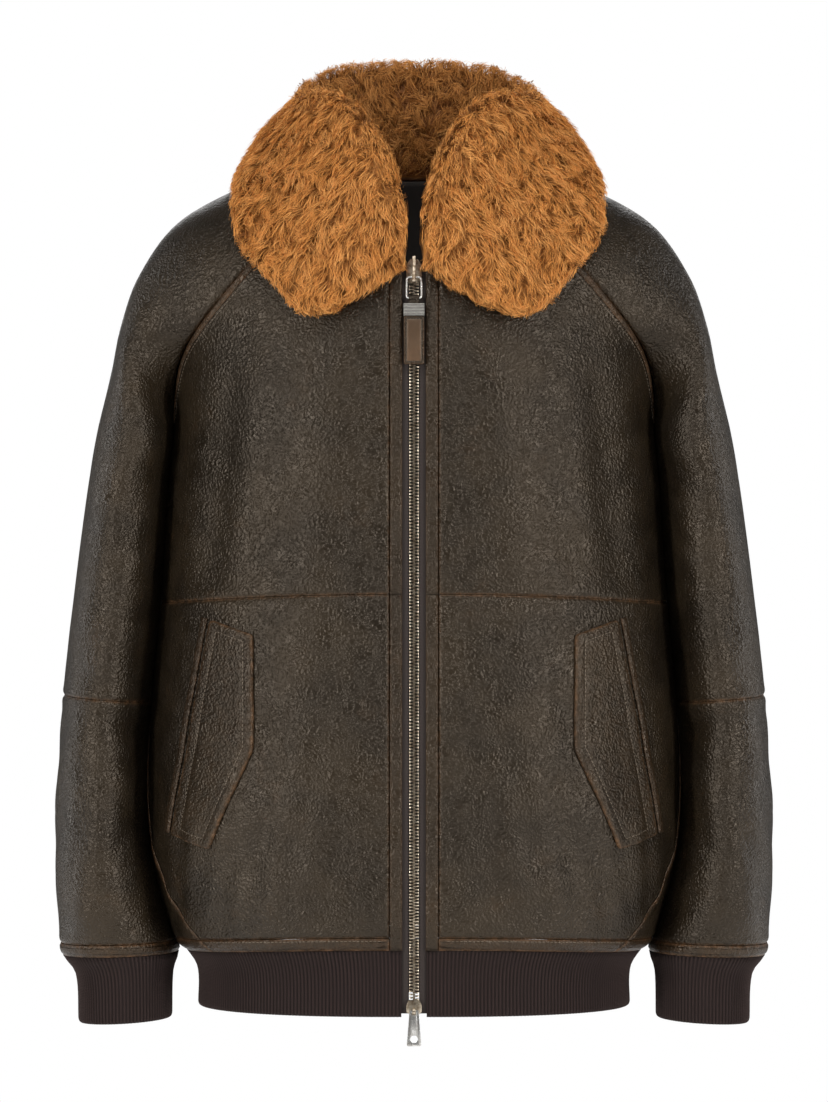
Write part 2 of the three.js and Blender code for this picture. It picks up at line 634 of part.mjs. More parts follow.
// Shares that cut a level of a surface into lengths that are all alike
function evenShare(surface, at, first) {
  const samples = 240;
  const points = Array.from({ length: samples + 1 }, (_, i) => surface(at, (2 * i) / samples));
  const lengths = [first];
  for (let i = 1; i <= samples; i += 1) lengths.push(lengths[i - 1] + points[i].distanceTo(points[i - 1]));
  const total = lengths[samples];
  const share = (length) => {
    let i = 1;
    while (i < samples && lengths[i] < length) i += 1;
    const part = (length - lengths[i - 1]) / (lengths[i] - lengths[i - 1]);
    return (2 * (i - 1 + part)) / samples;
  };
  return { total, share };
}

const bandStartX = 10.2;
const bandFlat = panelStartX - bandStartX; // the band's ends run on past the panels to the zip
const bandTopLevel = edgeEndLevel + 2 * levelGap;
const hemRuns = new Map();
function hemPoint(at, share, lift) {
  if (!hemRuns.has(at)) hemRuns.set(at, evenShare(bodySurface, at, bandFlat));
  const run = hemRuns.get(at);
  const onRight = share > 0.5;
  const length = (onRight ? 1 - share : share) * 2 * run.total;
  const frame = length < bandFlat ? centreFrame(at, bandStartX + length)
    : bodyFrame(at, Math.min(run.share(length), 2));
  const point = frame.point.addScaledVector(frame.normal, lift);
  return onRight ? point.setX(-point.x) : point;
}
const hemLength = 2 * evenShare(bodySurface, hemEndLevel, bandFlat).total;
const hemRibs = Math.round(hemLength / ribPitch / 2) * 2;
addMesh('rib_hem', ribBand(hemPoint, [bandTopLevel, hemEndLevel], hemRibs, 40, false), 'knit');

for (const { side, mirror } of both) {
  const cuffRuns = new Map();
  const cuffPoint = (at, share, lift) => {
    if (!cuffRuns.has(at)) cuffRuns.set(at, evenShare(sleeveSurface, at, 0));
    const run = cuffRuns.get(at);
    const frame = sleeveFrame(at, run.share((mirror ? 1 - share : share) * run.total));
    const point = frame.point.addScaledVector(frame.normal, lift);
    return mirror ? point.setX(-point.x) : point;
  };
  const cuffLength = evenShare(sleeveSurface, cuffEndLevel, 0).total;
  const cuffRibs = Math.round(cuffLength / ribPitch);
  const levels = [cuffEdgeEndLevel + 2 * levelGap, 5.55, cuffEndLevel];
  addMesh(`rib_cuff_${side}`, ribBand(cuffPoint, levels, cuffRibs, 18, true), 'knit');
}

// Fur collar. way runs round the neckline: the front to its raglan seam (0 to 1), over the
// sleeve's top (2) to the back raglan seam (3) and the back's centre (4). Below 0 it runs
// on over the flat edge beside the zip, one for 100 mm.
function neckFrame(at, way) {
  if (way < 0) return centreFrame(at, panelStartX + way * 100);
  if (way <= 1) return bodyFrame(at, way);
  if (way <= 3) return sleeveFrame(at, way - 1);
  return bodyFrame(at, Math.max(way - 2, backStart));
}

// Each station: where the collar stands on the neckline, where its outer edge lies over
// the garment, the top of its fold, and how thick the fur is at the edge
const collarStations = rows('at way edgeWay edgeAt rollX rollY rollZ edgeThick', [
  [0, -0.14, -0.12, 0.09, 6, -117, -58, 16],
  [1, 0.12, 0.08, 0.21, 12, -119, -38, 19],
  [2, 0.4, 0.24, 0.4, 19, -115, -18, 20],
  [3, 0.65, 0.35, 0.52, 29, -106, 4, 20],
  [4, 0.85, 0.45, 0.58, 42, -90, 24, 20],
  [5, 1.05, 0.56, 0.58, 58, -70, 38, 20],
  [6, 1.35, 0.8, 0.51, 78, -44, 45, 20],
  [7, 1.65, 1.06, 0.44, 93, -14, 46, 17],
  [8, 2, 1.38, 0.37, 101, 14, 47, 15],
  [9, 2.4, 1.85, 0.31, 99, 42, 56, 16],
  [10, 2.8, 2.45, 0.31, 86, 68, 67, 19],
  [11, 3.2, 2.95, 0.3, 64, 86, 77, 20],
  [12, 3.6, 3.45, 0.29, 33, 96, 82, 20],
  [13, 4, 4, 0.28, 0, 99, 83, 20],
]);
const collarSteps = [0, 1, 2, 3, 4, 5, 5.5, 6, 6.5, 7, 7.5, 8, 8.5, 9, 9.5, 10, 10.5, 11, 12, 13];
const furReach = 9; // half the fold's thickness
const collarClear = 2.6; // over the strips that it lies on
const collarArch = 2.2; // more than that between the neckline and the edge

function collarSection(station) {
  const wayRun = station.edgeWay - station.way;
  const at = (share) => neckFrame(station.edgeAt * share, station.way + wayRun * share);
  const over = (frame, lift) => frame.point.clone().addScaledVector(frame.normal, lift);
  const neck = at(0);
  const edge = at(1);
  const alongNeck = neck.point.clone().sub(at(0.04).point).normalize();
  const alongEdge = edge.point.clone().sub(at(0.96).point).normalize();
  const out = new THREE.Vector3(neck.normal.x, neck.normal.y, 0).normalize();
  const roll = new THREE.Vector3(station.rollX, station.rollY, station.rollZ);
  const foldSide = (reach) => roll.clone().addScaledVector(out, reach).setZ(roll.z - furReach * 0.7);
  const edgeTop = over(edge, station.edgeThick);
  const insideBottom = over(neck, -4).addScaledVector(alongNeck, 0.6);
  const middle = (a, b, reach, direction) => a.clone().lerp(b, 0.5).addScaledVector(direction, reach);
  return [
    insideBottom,
    middle(insideBottom, foldSide(-furReach), -2, out),
    foldSide(-furReach),
    roll,
    foldSide(furReach),
    middle(foldSide(furReach), edgeTop, 6, edge.normal),
    edgeTop,
    over(edge, station.edgeThick * 0.5).addScaledVector(alongEdge, 4),
    over(edge, collarClear),
    over(at(0.75), collarClear + collarArch),
    over(at(0.5), collarClear + collarArch),
    over(at(0.25), collarClear + collarArch),
    over(neck, collarClear).addScaledVector(alongNeck, 0.6),
  ];
}

function collarGeometry() {
  const station = smooth(collarStations);
  const half = collarSteps.map((step) => collarSection(station(step)));
  const otherHalf = half.slice(0, -1).reverse()
    .map((section) => section.map((p) => new THREE.Vector3(-p.x, p.y, p.z)));
  const sections = [...half, ...otherHalf];
  const size = half[0].length;
  const positions = sections.flatMap((section) => section.flatMap((p) => [p.x, p.y, p.z]));
  const index = [];
  for (let i = 0; i < sections.length - 1; i += 1) {
    for (let j = 0; j < size; j += 1) {
      const a = i * size + j;
      const b = i * size + ((j + 1) % size);
      index.push(a, b + size, a + size, a, b, b + size);
    }
  }
  // Both ends are closed; an end's faces turn the same way round as its section, or opposite
  for (const [which, sameTurn] of [[0, false], [sections.length - 1, true]]) {
    const outline = sections[which].map((p) => new THREE.Vector2(p.y, p.z));
    const turn = Math.sign(THREE.ShapeUtils.area(outline)) * (sameTurn ? 1 : -1);
    for (const corners of THREE.ShapeUtils.triangulateShape(outline, [])) {
      const faceTurn = Math.sign(THREE.ShapeUtils.area(corners.map((i) => outline[i])));
      if (faceTurn !== turn) corners.reverse();
      index.push(...corners.map((i) => which * size + i));
    }
  }
  const geometry = new THREE.BufferGeometry();
  geometry.setAttribute('position', new THREE.Float32BufferAttribute(positions, 3));
  geometry.setIndex(index);
  return geometry;
}
addMesh('collar', collarGeometry(), 'fur');

// Joining and cutting of hardware
function toSolid(geometry) {
  const bare = geometry.clone();
  bare.deleteAttribute('normal');
  bare.deleteAttribute('uv');
  const merged = mergeVertices(bare, 1e-4);
  return new wasm.Manifold(new wasm.Mesh({
    numProp: 3,
    vertProperties: new Float32Array(merged.attributes.position.array),
    triVerts: new Uint32Array(merged.index.array),
  }));
}

function toGeometry(solid) {
  const mesh = solid.getMesh();
  const geometry = new THREE.BufferGeometry();
  geometry.setAttribute('position', new THREE.BufferAttribute(new Float32Array(mesh.vertProperties), 3));
  geometry.setIndex(new THREE.BufferAttribute(new Uint32Array(mesh.triVerts), 1));
  return geometry;
}

const join = (parts) => parts.map(toSolid).reduce((whole, part) => whole.add(part));

// A block from its limits, a bar along X, and a plate from its outline seen from the front.
// All are in a frame that lies on the leather: -Y is out of it and +Z runs up along it.
function block(fromX, toX, fromY, toY, fromZ, toZ) {
  const geometry = new THREE.BoxGeometry(toX - fromX, toY - fromY, toZ - fromZ);
  return geometry.translate((fromX + toX) / 2, (fromY + toY) / 2, (fromZ + toZ) / 2);
}

function barAlongX(radius, width, y, z, sides = 16) {
  return new THREE.CylinderGeometry(radius, radius, width, sides).rotateZ(Math.PI / 2).translate(0, y, z);
}

function plate(shape, frontY, backY) {
  const settings = { depth: backY - frontY, bevelEnabled: false, curveSegments: 6 };
  const geometry = new THREE.ExtrudeGeometry(shape, settings);
  return geometry.rotateX(Math.PI / 2).translate(0, backY, 0);
}

function outlineShape(halfOutline) {
  const points = [
    ...halfOutline.map(({ x, z }) => new THREE.Vector2(x, z)),
    ...halfOutline.map(({ x, z }) => new THREE.Vector2(-x, z)).reverse(),
  ];
  return new THREE.Shape(points);
}

// Lays a piece on the leather at a height of the front's centre
function seatAt(mesh, z) {
  const place = centreFrame(centreLevel(z), 0);
  mesh.position.copy(place.point);
  mesh.rotation.x = Math.atan2(-place.normal.z, -place.normal.y);
  return mesh;
}

// The slider's two plates hold the chain between them
const plateFront = -1.3;
const plateBack = 0.1;
const backPlateFront = 4.1;
const backPlateBack = 5.3;
const flangeX = { inner: 4.8, outer: 6.05 };

function sliderBody(halfOutline, post) {
  const shape = outlineShape(halfOutline);
  const flanges = [-1, 1].flatMap((s) => {
    const edges = [s * flangeX.inner, s * flangeX.outer].sort((a, b) => a - b);
    return [
      block(edges[0], edges[1], plateBack - 0.5, plateBack + 1.1, -3.5, 2.5),
      block(edges[0], edges[1], backPlateFront - 0.9, backPlateFront + 0.5, -3.5, 2.5),
    ];
  });
  return join([
    plate(shape, plateFront, plateBack),
    plate(shape, backPlateFront, backPlateBack),
    block(-1.4, 1.4, plateBack - 0.5, backPlateFront + 0.5, post.low, post.high),
    ...flanges,
  ]);
}

const topOutline = rows('x z', [[3, 10], [5.2, 7], [6.15, 3], [6.15, -4], [4.6, -10]]);
const lowOutline = rows('x z', [[4.6, 6.2], [6.15, 2.5], [6.15, -2.5], [3.4, -5.6]]);
const wireRadius = 0.85;
const runningGap = 0.35;
const ringAxisY = -3.2; // of the hinge, in the top slider's frame
const ringAxisZ = -5.5;
const bridgeInside = ringAxisY - wireRadius - runningGap;
const bridgeThick = 1.3;

function topSlider() {
  const bridgeFront = bridgeInside - bridgeThick;
  return toGeometry(sliderBody(topOutline, { low: -1.5, high: 8 })
    .add(join([
      block(-1.5, 1.5, bridgeFront, bridgeInside, -9.6, 11.5),
      block(-1.5, 1.5, bridgeInside - 0.2, plateFront + 0.4, 8.6, 11.5),
      block(-1.5, 1.5, bridgeInside - 0.2, plateFront + 0.4, -9.6, -7.6),
      new THREE.SphereGeometry(1.9, 12, 8).translate(0, bridgeFront - 0.5, -8.6),
    ])));
}

const slider = seatAt(addMesh('zip_slider_top', topSlider(), 'brass'), sliderZ);
slider.updateMatrixWorld(true);

// The wire ring hangs in the slider's bridge, and the leather tab is folded over the ring
const ringHalfWidth = 6;
const ringLength = 17.5;
const ringCorner = 2.2;
function wireLoop(halfWidth, length, corner, radius, sides) {
  const path = [];
  const corners = [[1, 0, 0], [1, -1, -90], [-1, -1, -180], [-1, 0, -270]];
  for (const [sideX, endZ, startAngle] of corners) {
    const centreX = sideX * (halfWidth - corner);
    const centreZ = endZ === 0 ? -corner : -length + corner;
    for (let i = 0; i <= 3; i += 1) {
      const angle = radians(startAngle + 90 - i * 30);
      const x = centreX + corner * Math.cos(angle);
      path.push(new THREE.Vector2(x, centreZ + corner * Math.sin(angle)));
    }
  }
  const positions = [];
  const index = [];
  path.forEach((point, i) => {
    const before = path[(i + path.length - 1) % path.length];
    const after = path[(i + 1) % path.length];
    const along = after.clone().sub(before).normalize();
    for (let k = 0; k < sides; k += 1) {
      const angle = (2 * Math.PI * k) / sides;
      const across = radius * Math.cos(angle);
      positions.push(point.x - along.y * across, radius * Math.sin(angle), point.y + along.x * across);
      const next = ((i + 1) % path.length) * sides;
      const turn = (k + 1) % sides;
      index.push(i * sides + k, next + k, next + turn, i * sides + k, next + turn, i * sides + turn);
    }
  });
  const geometry = new THREE.BufferGeometry();
  geometry.setAttribute('position', new THREE.Float32BufferAttribute(positions, 3));
  geometry.setIndex(index);
  return geometry;
}

const ringTilt = radians(12.9); // the ring and the tab lie out over the swell of the chest
const tabTilt = radians(7.1);
const ringWire = wireLoop(ringHalfWidth, ringLength, ringCorner, wireRadius, 8);
const ring = addMesh('pull_ring_top', ringWire, 'steel');
ring.position.copy(slider.localToWorld(new THREE.Vector3(0, ringAxisY, ringAxisZ)));
ring.rotation.x = -ringTilt;
ring.updateMatrixWorld(true);
const tabHinge = ring.localToWorld(new THREE.Vector3(0, 0, -ringLength));

const tabThick = 3.6;
const tabWidth = 16.5;
const tabNeckWidth = 14.8;
const loopWidth = 8.6;
const loopRadius = 2.6;
const tabTopZ = -4.2;
const keeperTopZ = -4.6;
const keeperEndZ = -14.6;
const tabEndZ = -54;
function roundedTab() {
  const shape = new THREE.Shape();
  const r = 2;
  const half = tabWidth / 2;
  shape.moveTo(-half, keeperEndZ - seamGap);
  shape.lineTo(-half, tabEndZ + r);
  shape.quadraticCurveTo(-half, tabEndZ, -half + r, tabEndZ);
  shape.lineTo(half - r, tabEndZ);
  shape.quadraticCurveTo(half, tabEndZ, half, tabEndZ + r);
  shape.lineTo(half, keeperEndZ - seamGap);
  return plate(shape, -tabThick / 2, tabThick / 2);
}

function topTab() {
  const halfNeck = tabNeckWidth / 2;
  return toGeometry(join([
    barAlongX(loopRadius, loopWidth, 0, 0),
    block(-loopWidth / 2, loopWidth / 2, -tabThick / 2, tabThick / 2, tabTopZ - 1, -1.5),
    block(-halfNeck, halfNeck, -tabThick / 2, tabThick / 2, keeperEndZ - 1, tabTopZ),
    roundedTab(),
  ]).subtract(toSolid(barAlongX(wireRadius + runningGap, loopWidth + 2, 0, 0))));
}

function topKeeper() {
  const halfInside = tabNeckWidth / 2 + seamGap;
  const halfOutside = tabWidth / 2 + 0.2;
  const deepInside = tabThick / 2 + seamGap;
  const deepOutside = deepInside + 0.8;
  const whole = block(-halfOutside, halfOutside, -deepOutside, deepOutside, keeperEndZ, keeperTopZ);
  const hollow = block(-halfInside, halfInside, -deepInside, deepInside, keeperEndZ - 1, keeperTopZ + 1);
  return toGeometry(toSolid(whole).subtract(toSolid(hollow)));
}

const tab = addMesh('pull_tab_top', topTab(), 'tab');
const keeper = addMesh('pull_keeper_top', topKeeper(), 'braid');
for (const mesh of [tab, keeper]) {
  mesh.position.copy(tabHinge);
  mesh.rotation.x = -tabTilt;
}

// The lower slider has a round eye, and its flat pull hangs in it
const eyeY = -3.5;
const eyeZ = -2.4;
const eyeInside = 1.3;
const eyeOutside = 2.5;
const eyeWidth = 2.6;
function lowSlider() {
  return toGeometry(sliderBody(lowOutline, { low: -5.4, high: -1 })
    .add(toSolid(barAlongX(eyeOutside, eyeWidth, eyeY, eyeZ, 20)))
    .subtract(toSolid(barAlongX(eyeInside, eyeWidth + 2, eyeY, eyeZ, 20))));
}
const lower = seatAt(addMesh('zip_slider_bottom', lowSlider(), 'brass'), lowSliderZ);
lower.updateMatrixWorld(true);

const pullThick = 1.2;
const pullLength = 28;
const pullBar = 0.85; // half the height of the bar that lies in the eye
function lowPull() {
  const shape = new THREE.Shape();
  const topHalf = 3.65;
  const endHalf = 5.8;
  shape.moveTo(-topHalf, pullBar);
  shape.lineTo(-endHalf, -pullLength + 1.5);
  shape.quadraticCurveTo(-endHalf, -pullLength, -endHalf + 1.5, -pullLength);
  shape.lineTo(endHalf - 1.5, -pullLength);
  shape.quadraticCurveTo(endHalf, -pullLength, endHalf, -pullLength + 1.5);
  shape.lineTo(topHalf, pullBar);
  const eye = new THREE.Path();
  const eyeHalf = eyeWidth / 2 + runningGap;
  eye.moveTo(-eyeHalf, -pullBar);
  eye.lineTo(eyeHalf, -pullBar);
  eye.lineTo(eyeHalf, -eyeOutside - 0.6);
  eye.lineTo(-eyeHalf, -eyeOutside - 0.6);
  const hexagon = new THREE.Path();
  const hexagonRadius = 3.4;
  for (let i = 0; i < 6; i += 1) {
    const angle = radians(i * 60);
    const x = hexagonRadius * Math.cos(angle);
    const z = -pullLength + 5.6 + hexagonRadius * Math.sin(angle);
    if (i === 0) hexagon.moveTo(x, z);
    else hexagon.lineTo(x, z);
  }
  shape.holes.push(eye, hexagon);
  return plate(shape, -pullThick / 2, pullThick / 2);
}
const lowerPull = addMesh('pull_bottom', lowPull(), 'steel');
lowerPull.position.copy(lower.localToWorld(new THREE.Vector3(0, eyeY, eyeZ)));

export default group;
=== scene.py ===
import math

import bmesh
import bpy
import mathutils
import mathutils.bvhtree
import mathutils.kdtree
import numpy as np
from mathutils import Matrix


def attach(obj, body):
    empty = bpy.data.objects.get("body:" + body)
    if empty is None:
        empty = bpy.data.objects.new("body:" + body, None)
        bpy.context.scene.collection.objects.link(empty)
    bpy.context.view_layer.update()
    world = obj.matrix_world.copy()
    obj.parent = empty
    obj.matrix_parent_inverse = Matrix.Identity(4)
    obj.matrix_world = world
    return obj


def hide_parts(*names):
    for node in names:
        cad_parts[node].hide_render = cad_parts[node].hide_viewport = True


# A leather jacket with a fur collar, on a hidden form in a white studio.
# Cloth sizes are in millimetres and turn into metres when a mesh is made.
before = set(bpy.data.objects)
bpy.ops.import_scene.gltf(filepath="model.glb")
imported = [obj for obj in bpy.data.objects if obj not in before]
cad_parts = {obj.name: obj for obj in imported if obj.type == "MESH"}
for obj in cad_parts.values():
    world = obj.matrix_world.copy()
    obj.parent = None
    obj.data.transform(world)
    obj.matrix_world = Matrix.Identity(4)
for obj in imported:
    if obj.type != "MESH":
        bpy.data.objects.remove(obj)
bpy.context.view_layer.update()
mm = 0.001
chance = np.random.default_rng(11)
print("pattern loaded:", len(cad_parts), "pieces")

# Studio
studio = {
    "cameraDistance": 4.0,
    "cameraHeight": -0.333,
    "heightShown": 0.915,
    "floorHeight": -1.06,
    "floorRadius": 2.1,
    "worldLight": 0.11,
}


def addObject(name, data):
    item = bpy.data.objects.new(name, data)
    bpy.context.scene.collection.objects.link(item)
    return item


def placeCamera():
    data = bpy.data.cameras.new("studioCamera")
    data.sensor_width = 36
    data.lens = 36 * studio["cameraDistance"] / studio["heightShown"]
    camera = addObject("studioCamera", data)
    camera.location = (0, -studio["cameraDistance"], studio["cameraHeight"])
    camera.rotation_euler = (math.pi / 2, 0, 0)
    bpy.context.scene.camera = camera


softboxes = [  # name, place, what it points at, width, height, watts
    ("sideLeft", (-2.4, -2.5, 0.1), (0, 0, -0.3), 0.35, 2.8, 74),
    ("sideRight", (2.4, -2.5, 0.1), (0, 0, -0.3), 0.35, 2.8, 74),
    ("rimLeft", (-2.2, 0.9, 0.0), (0, 0, -0.35), 0.6, 2.4, 16),
    ("rimRight", (2.2, 0.9, 0.0), (0, 0, -0.35), 0.6, 2.4, 16),
    ("above", (0, -1.7, 2.4), (0, 0, 0), 2.0, 1.2, 42),
    ("front", (0.2, -4.8, 2.6), (0, 0, -0.1), 2.0, 1.2, 8),
    ("behind", (0, 3.2, 1.0), (0, 0, -0.3), 2.2, 2.0, 24),
]


def placeLights():
    for name, place, target, width, height, watts in softboxes:
        data = bpy.data.lights.new(name, "AREA")
        data.shape = "RECTANGLE"
        data.size = width
        data.size_y = height
        data.energy = watts
        lamp = addObject(name, data)
        lamp.location = place
        aim = [t - p for t, p in zip(target, place)]
        lamp.rotation_euler = mathutils.Vector(aim).to_track_quat("-Z", "Y").to_euler()


def paintWorld():
    world = bpy.data.worlds.new("studioWorld")
    bpy.context.scene.world = world
    world.use_nodes = True
    nodes, links = world.node_tree.nodes, world.node_tree.links
    nodes.clear()
    shown, lit = nodes.new("ShaderNodeBackground"), nodes.new("ShaderNodeBackground")
    for background, strength in ((shown, 1.0), (lit, studio["worldLight"])):
        background.inputs["Color"].default_value = (1, 1, 1, 1)
        background.inputs["Strength"].default_value = strength
    rays = nodes.new("ShaderNodeLightPath")
    mix = nodes.new("ShaderNodeMixShader")
    out = nodes.new("ShaderNodeOutputWorld")
    links.new(rays.outputs["Is Camera Ray"], mix.inputs["Fac"])
    links.new(lit.outputs[0], mix.inputs[1])
    links.new(shown.outputs[0], mix.inputs[2])
    links.new(mix.outputs[0], out.inputs["Surface"])


placeCamera()
placeLights()
paintWorld()
bpy.context.scene.view_settings.view_transform = "Standard"
print("studio ready")

# Finishes
leatherLook = {
    "dark": (0.0085, 0.0058, 0.0033),
    "light": (0.0175, 0.0118, 0.0064),
    "patina": (0.036, 0.02, 0.009),
    "worn": (0.12, 0.061, 0.028),
    "grainSize": 0.002,
    "grainDepth": 0.00075,
}


def startMaterial(name):
    material = bpy.data.materials.new(name)
    material.use_nodes = True
    shader = next(n for n in material.node_tree.nodes if n.type == "BSDF_PRINCIPLED")
    return material, material.node_tree, shader


def setSockets(node, sockets):
    # A socket gets a plain value, or a link from another node's output
    for socket, value in sockets.items():
        if isinstance(value, bpy.types.NodeSocket):
            node.id_data.links.new(value, node.inputs[socket])
        else:
            node.inputs[socket].default_value = value


def noiseNode(tree, place, size, detail=3.0, roughness=0.5):
    node = tree.nodes.new("ShaderNodeTexNoise")
    setSockets(node, {"Scale": 1 / size, "Detail": detail, "Roughness": roughness, "Vector": place})
    return node.outputs["Fac"]


def waveNode(tree, direction, sockets):
    node = tree.nodes.new("ShaderNodeTexWave")
    node.bands_direction = direction
    setSockets(node, {"Vector": objectPlace(tree), **sockets})
    return node.outputs["Fac"]


def mixColours(tree, factor, first, second):
    node = tree.nodes.new("ShaderNodeMix")
    node.data_type = "RGBA"
    first, second = ((*c, 1) if isinstance(c, tuple) else c for c in (first, second))
    setSockets(node, {"Factor": factor, 6: first, 7: second})
    return node.outputs[2]


def rangeNode(tree, value, low, high, toLow=0.0, toHigh=1.0):
    node = tree.nodes.new("ShaderNodeMapRange")
    node.interpolation_type = "SMOOTHSTEP"
    setSockets(node, {"Value": value, "From Min": low, "From Max": high, "To Min": toLow, "To Max": toHigh})
    return node.outputs["Result"]


def mathNode(tree, kind, first, second=0):
    node = tree.nodes.new("ShaderNodeMath")
    node.operation = kind
    setSockets(node, {0: first, 1: second})
    return node.outputs[0]


def attributeNode(tree, name):
    node = tree.nodes.new("ShaderNodeAttribute")
    node.attribute_name = name
    return node.outputs["Fac"]


def objectPlace(tree):
    return tree.nodes.new("ShaderNodeTexCoord").outputs["Object"]


def bumpNode(tree, height, depth, strength=1.0, under=None):
    node = tree.nodes.new("ShaderNodeBump")
    setSockets(node, {"Height": height, "Distance": depth, "Strength": strength})
    if under is not None:
        setSockets(node, {"Normal": under})
    return node.outputs["Normal"]


def leatherMaterial(name, look, tint=(1.0, 1.0, 1.0), wornAll=0.0, roughness=0.33):
    material, tree, shader = startMaterial(name)
    place = objectPlace(tree)
    dark, light, patina, worn = (
        tuple(c * t for c, t in zip(look[key], tint)) for key in ("dark", "light", "patina", "worn"))
    mottle = noiseNode(tree, place, 0.06, 5.0, 0.6)
    base = mixColours(tree, rangeNode(tree, mottle, 0.36, 0.66), dark, light)
    patches = noiseNode(tree, place, 0.034, 6.0, 0.68)
    aged = rangeNode(tree, patches, 0.56, 0.8, wornAll * 0.4, 0.5 + wornAll * 0.4)
    base = mixColours(tree, aged, base, patina)
    rubbed = rangeNode(tree, noiseNode(tree, place, 0.007, 4.0, 0.7), 0.34, 0.72, 0.12, 0.95)
    base = mixColours(tree, mathNode(tree, "MULTIPLY", attributeNode(tree, "wearAndRibShade"), rubbed), base, worn)

    # Small wrinkled cells, drawn out by a slow noise so that no direction repeats
    bend = noiseNode(tree, place, 0.012, 2.0).node.outputs["Color"]
    moved = tree.nodes.new("ShaderNodeVectorMath")
    moved.operation = "MULTIPLY_ADD"
    setSockets(moved, {0: bend, 1: (0.006, 0.006, 0.006), 2: place})
    cells = tree.nodes.new("ShaderNodeTexVoronoi")
    cells.feature = "SMOOTH_F1"
    setSockets(cells, {"Scale": 1 / look["grainSize"], "Smoothness": 0.6, "Vector": moved.outputs[0]})
    folded = noiseNode(tree, moved.outputs[0], look["grainSize"] * 1.6, 3.0, 0.6)
    grain = mathNode(tree, "ADD", cells.outputs["Distance"], folded)
    slow = bumpNode(tree, noiseNode(tree, place, 0.016, 2.0), 0.0007, 0.5)
    dull = noiseNode(tree, place, 0.02, 4.0, 0.6)
    setSockets(shader, {
        "Base Color": base,
        "Normal": bumpNode(tree, grain, look["grainDepth"], 1.0, slow),
        "Roughness": rangeNode(tree, dull, 0.3, 0.7, roughness - 0.05, roughness + 0.11),
        "Specular IOR Level": 0.4,
        "Specular Tint": (1.0, 0.84, 0.68, 1),
    })
    return material


def liningMaterial():
    material, tree, shader = startMaterial("lining")
    nap = noiseNode(tree, objectPlace(tree), 0.004, 4.0, 0.7)
    setSockets(shader, {
        "Base Color": mixColours(tree, nap, (0.012, 0.009, 0.007), (0.024, 0.017, 0.013)),
        "Normal": bumpNode(tree, nap, 0.0004, 0.6),
        "Roughness": 0.9,
    })
    return material


leather = leatherMaterial("agedLeather", leatherLook)
edgeLeather = leatherMaterial("rubbedLeather", leatherLook, (1.08, 1.02, 0.98), 0.15, 0.36)
lining = liningMaterial()
print("leather mixed")


# Meshes
def makeMesh(name, vertices, faces, materials, slot, body="jacket", faceMaterials=None, values=None,
             flat=None):
    data = bpy.data.meshes.new(name)
    data.from_pydata((np.asarray(vertices, float) * mm).tolist(), [], faces)
    for material in materials:
        data.materials.append(material)
    data.polygons.foreach_set("use_smooth", np.ones(len(data.polygons), bool))
    if faceMaterials is not None:
        data.polygons.foreach_set("material_index", np.asarray(faceMaterials, np.int32))
    for key, numbers in (values or {}).items():
        layer = data.attributes.new(key, "FLOAT", "POINT")
        layer.data.foreach_set("value", np.asarray(numbers, np.float32).ravel())
    if flat is not None:
        layer = data.uv_layers.new(name="cloth")
        corners = np.zeros(len(data.loops), np.int32)
        data.loops.foreach_get("vertex_index", corners)
        layer.data.foreach_set("uv", np.asarray(flat, np.float32).reshape(-1, 2)[corners].ravel())
    data.update()
    piece = addObject(name, data)
    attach(piece, body)
    return piece


def wallFaces(rows, columns, flip, closed=False):
    # Faces of a wall between two grids, with a rim; the first faces are the outer ones
    outer = np.arange(rows * columns).reshape(rows, columns)
    inner = outer + rows * columns
    if closed:
        outer = np.hstack([outer, outer[:, :1]])
        inner = np.hstack([inner, inner[:, :1]])
    quads = lambda a, b, c, d: np.stack([a.ravel(), b.ravel(), c.ravel(), d.ravel()], 1)
    face = quads(outer[:-1, :-1], outer[1:, :-1], outer[1:, 1:], outer[:-1, 1:])
    back = quads(inner[:-1, :-1], inner[:-1, 1:], inner[1:, 1:], inner[1:, :-1])
    rims = [
        quads(outer[0, :-1], outer[0, 1:], inner[0, 1:], inner[0, :-1]),
        quads(outer[-1, :-1], inner[-1, :-1], inner[-1, 1:], outer[-1, 1:]),
    ]
    if not closed:
        rims.append(quads(outer[:-1, 0], inner[:-1, 0], inner[1:, 0], outer[1:, 0]))
        rims.append(quads(outer[:-1, -1], outer[1:, -1], inner[1:, -1], inner[:-1, -1]))
    faces = np.vstack([face, back, *rims])
    kinds = np.concatenate([np.zeros(len(face)), np.ones(len(back)), np.zeros(sum(len(r) for r in rims))])
    if flip:
        faces = faces[:, ::-1]
    return faces.tolist(), kinds.astype(np.int32)


def wallPiece(name, node, outer, inner, mirror, materials, slot, wearAndRibShade, closed=False, innerWearAndRibShade=0,
              flat=None):
    faces, kinds = wallFaces(*outer.shape[:2], mirror, closed)
    vertices = np.vstack([outer.reshape(-1, 3), inner.reshape(-1, 3)])
    if mirror:
        vertices = vertices * (-1, 1, 1)
    # Wear of the leather; on the knit bands the same channel carries painted shade of the ribs
    wearAndRibShade = np.broadcast_to(wearAndRibShade, outer.shape[:2]).ravel()
    values = {"wearAndRibShade": np.concatenate([wearAndRibShade, np.full(wearAndRibShade.size, innerWearAndRibShade)])}
    piece = makeMesh(name, vertices, faces, materials, slot, values=values, flat=flat,
                     faceMaterials=kinds if len(materials) > 1 else None)
    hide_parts(node)
    return piece


def ringFaces(rings, count, closed=False, flip=False):
    # Four-sided faces between rings of points
    faces = []
    for r in range(rings if closed else rings - 1):
        first, second = r * count, (r + 1) % rings * count
        for i in range(count):
            after = (i + 1) % count
            face = [first + i, first + after, second + after, second + i]
            faces.append(face[:1] + face[:0:-1] if flip else face)
    return faces


def unit(v):
    return v / (np.linalg.norm(v, axis=-1, keepdims=True) + 1e-9)


def runAlong(points):
    # How far along a line each of its points lies
    return np.concatenate([[0], np.cumsum(np.linalg.norm(np.diff(points, axis=0), axis=1))])


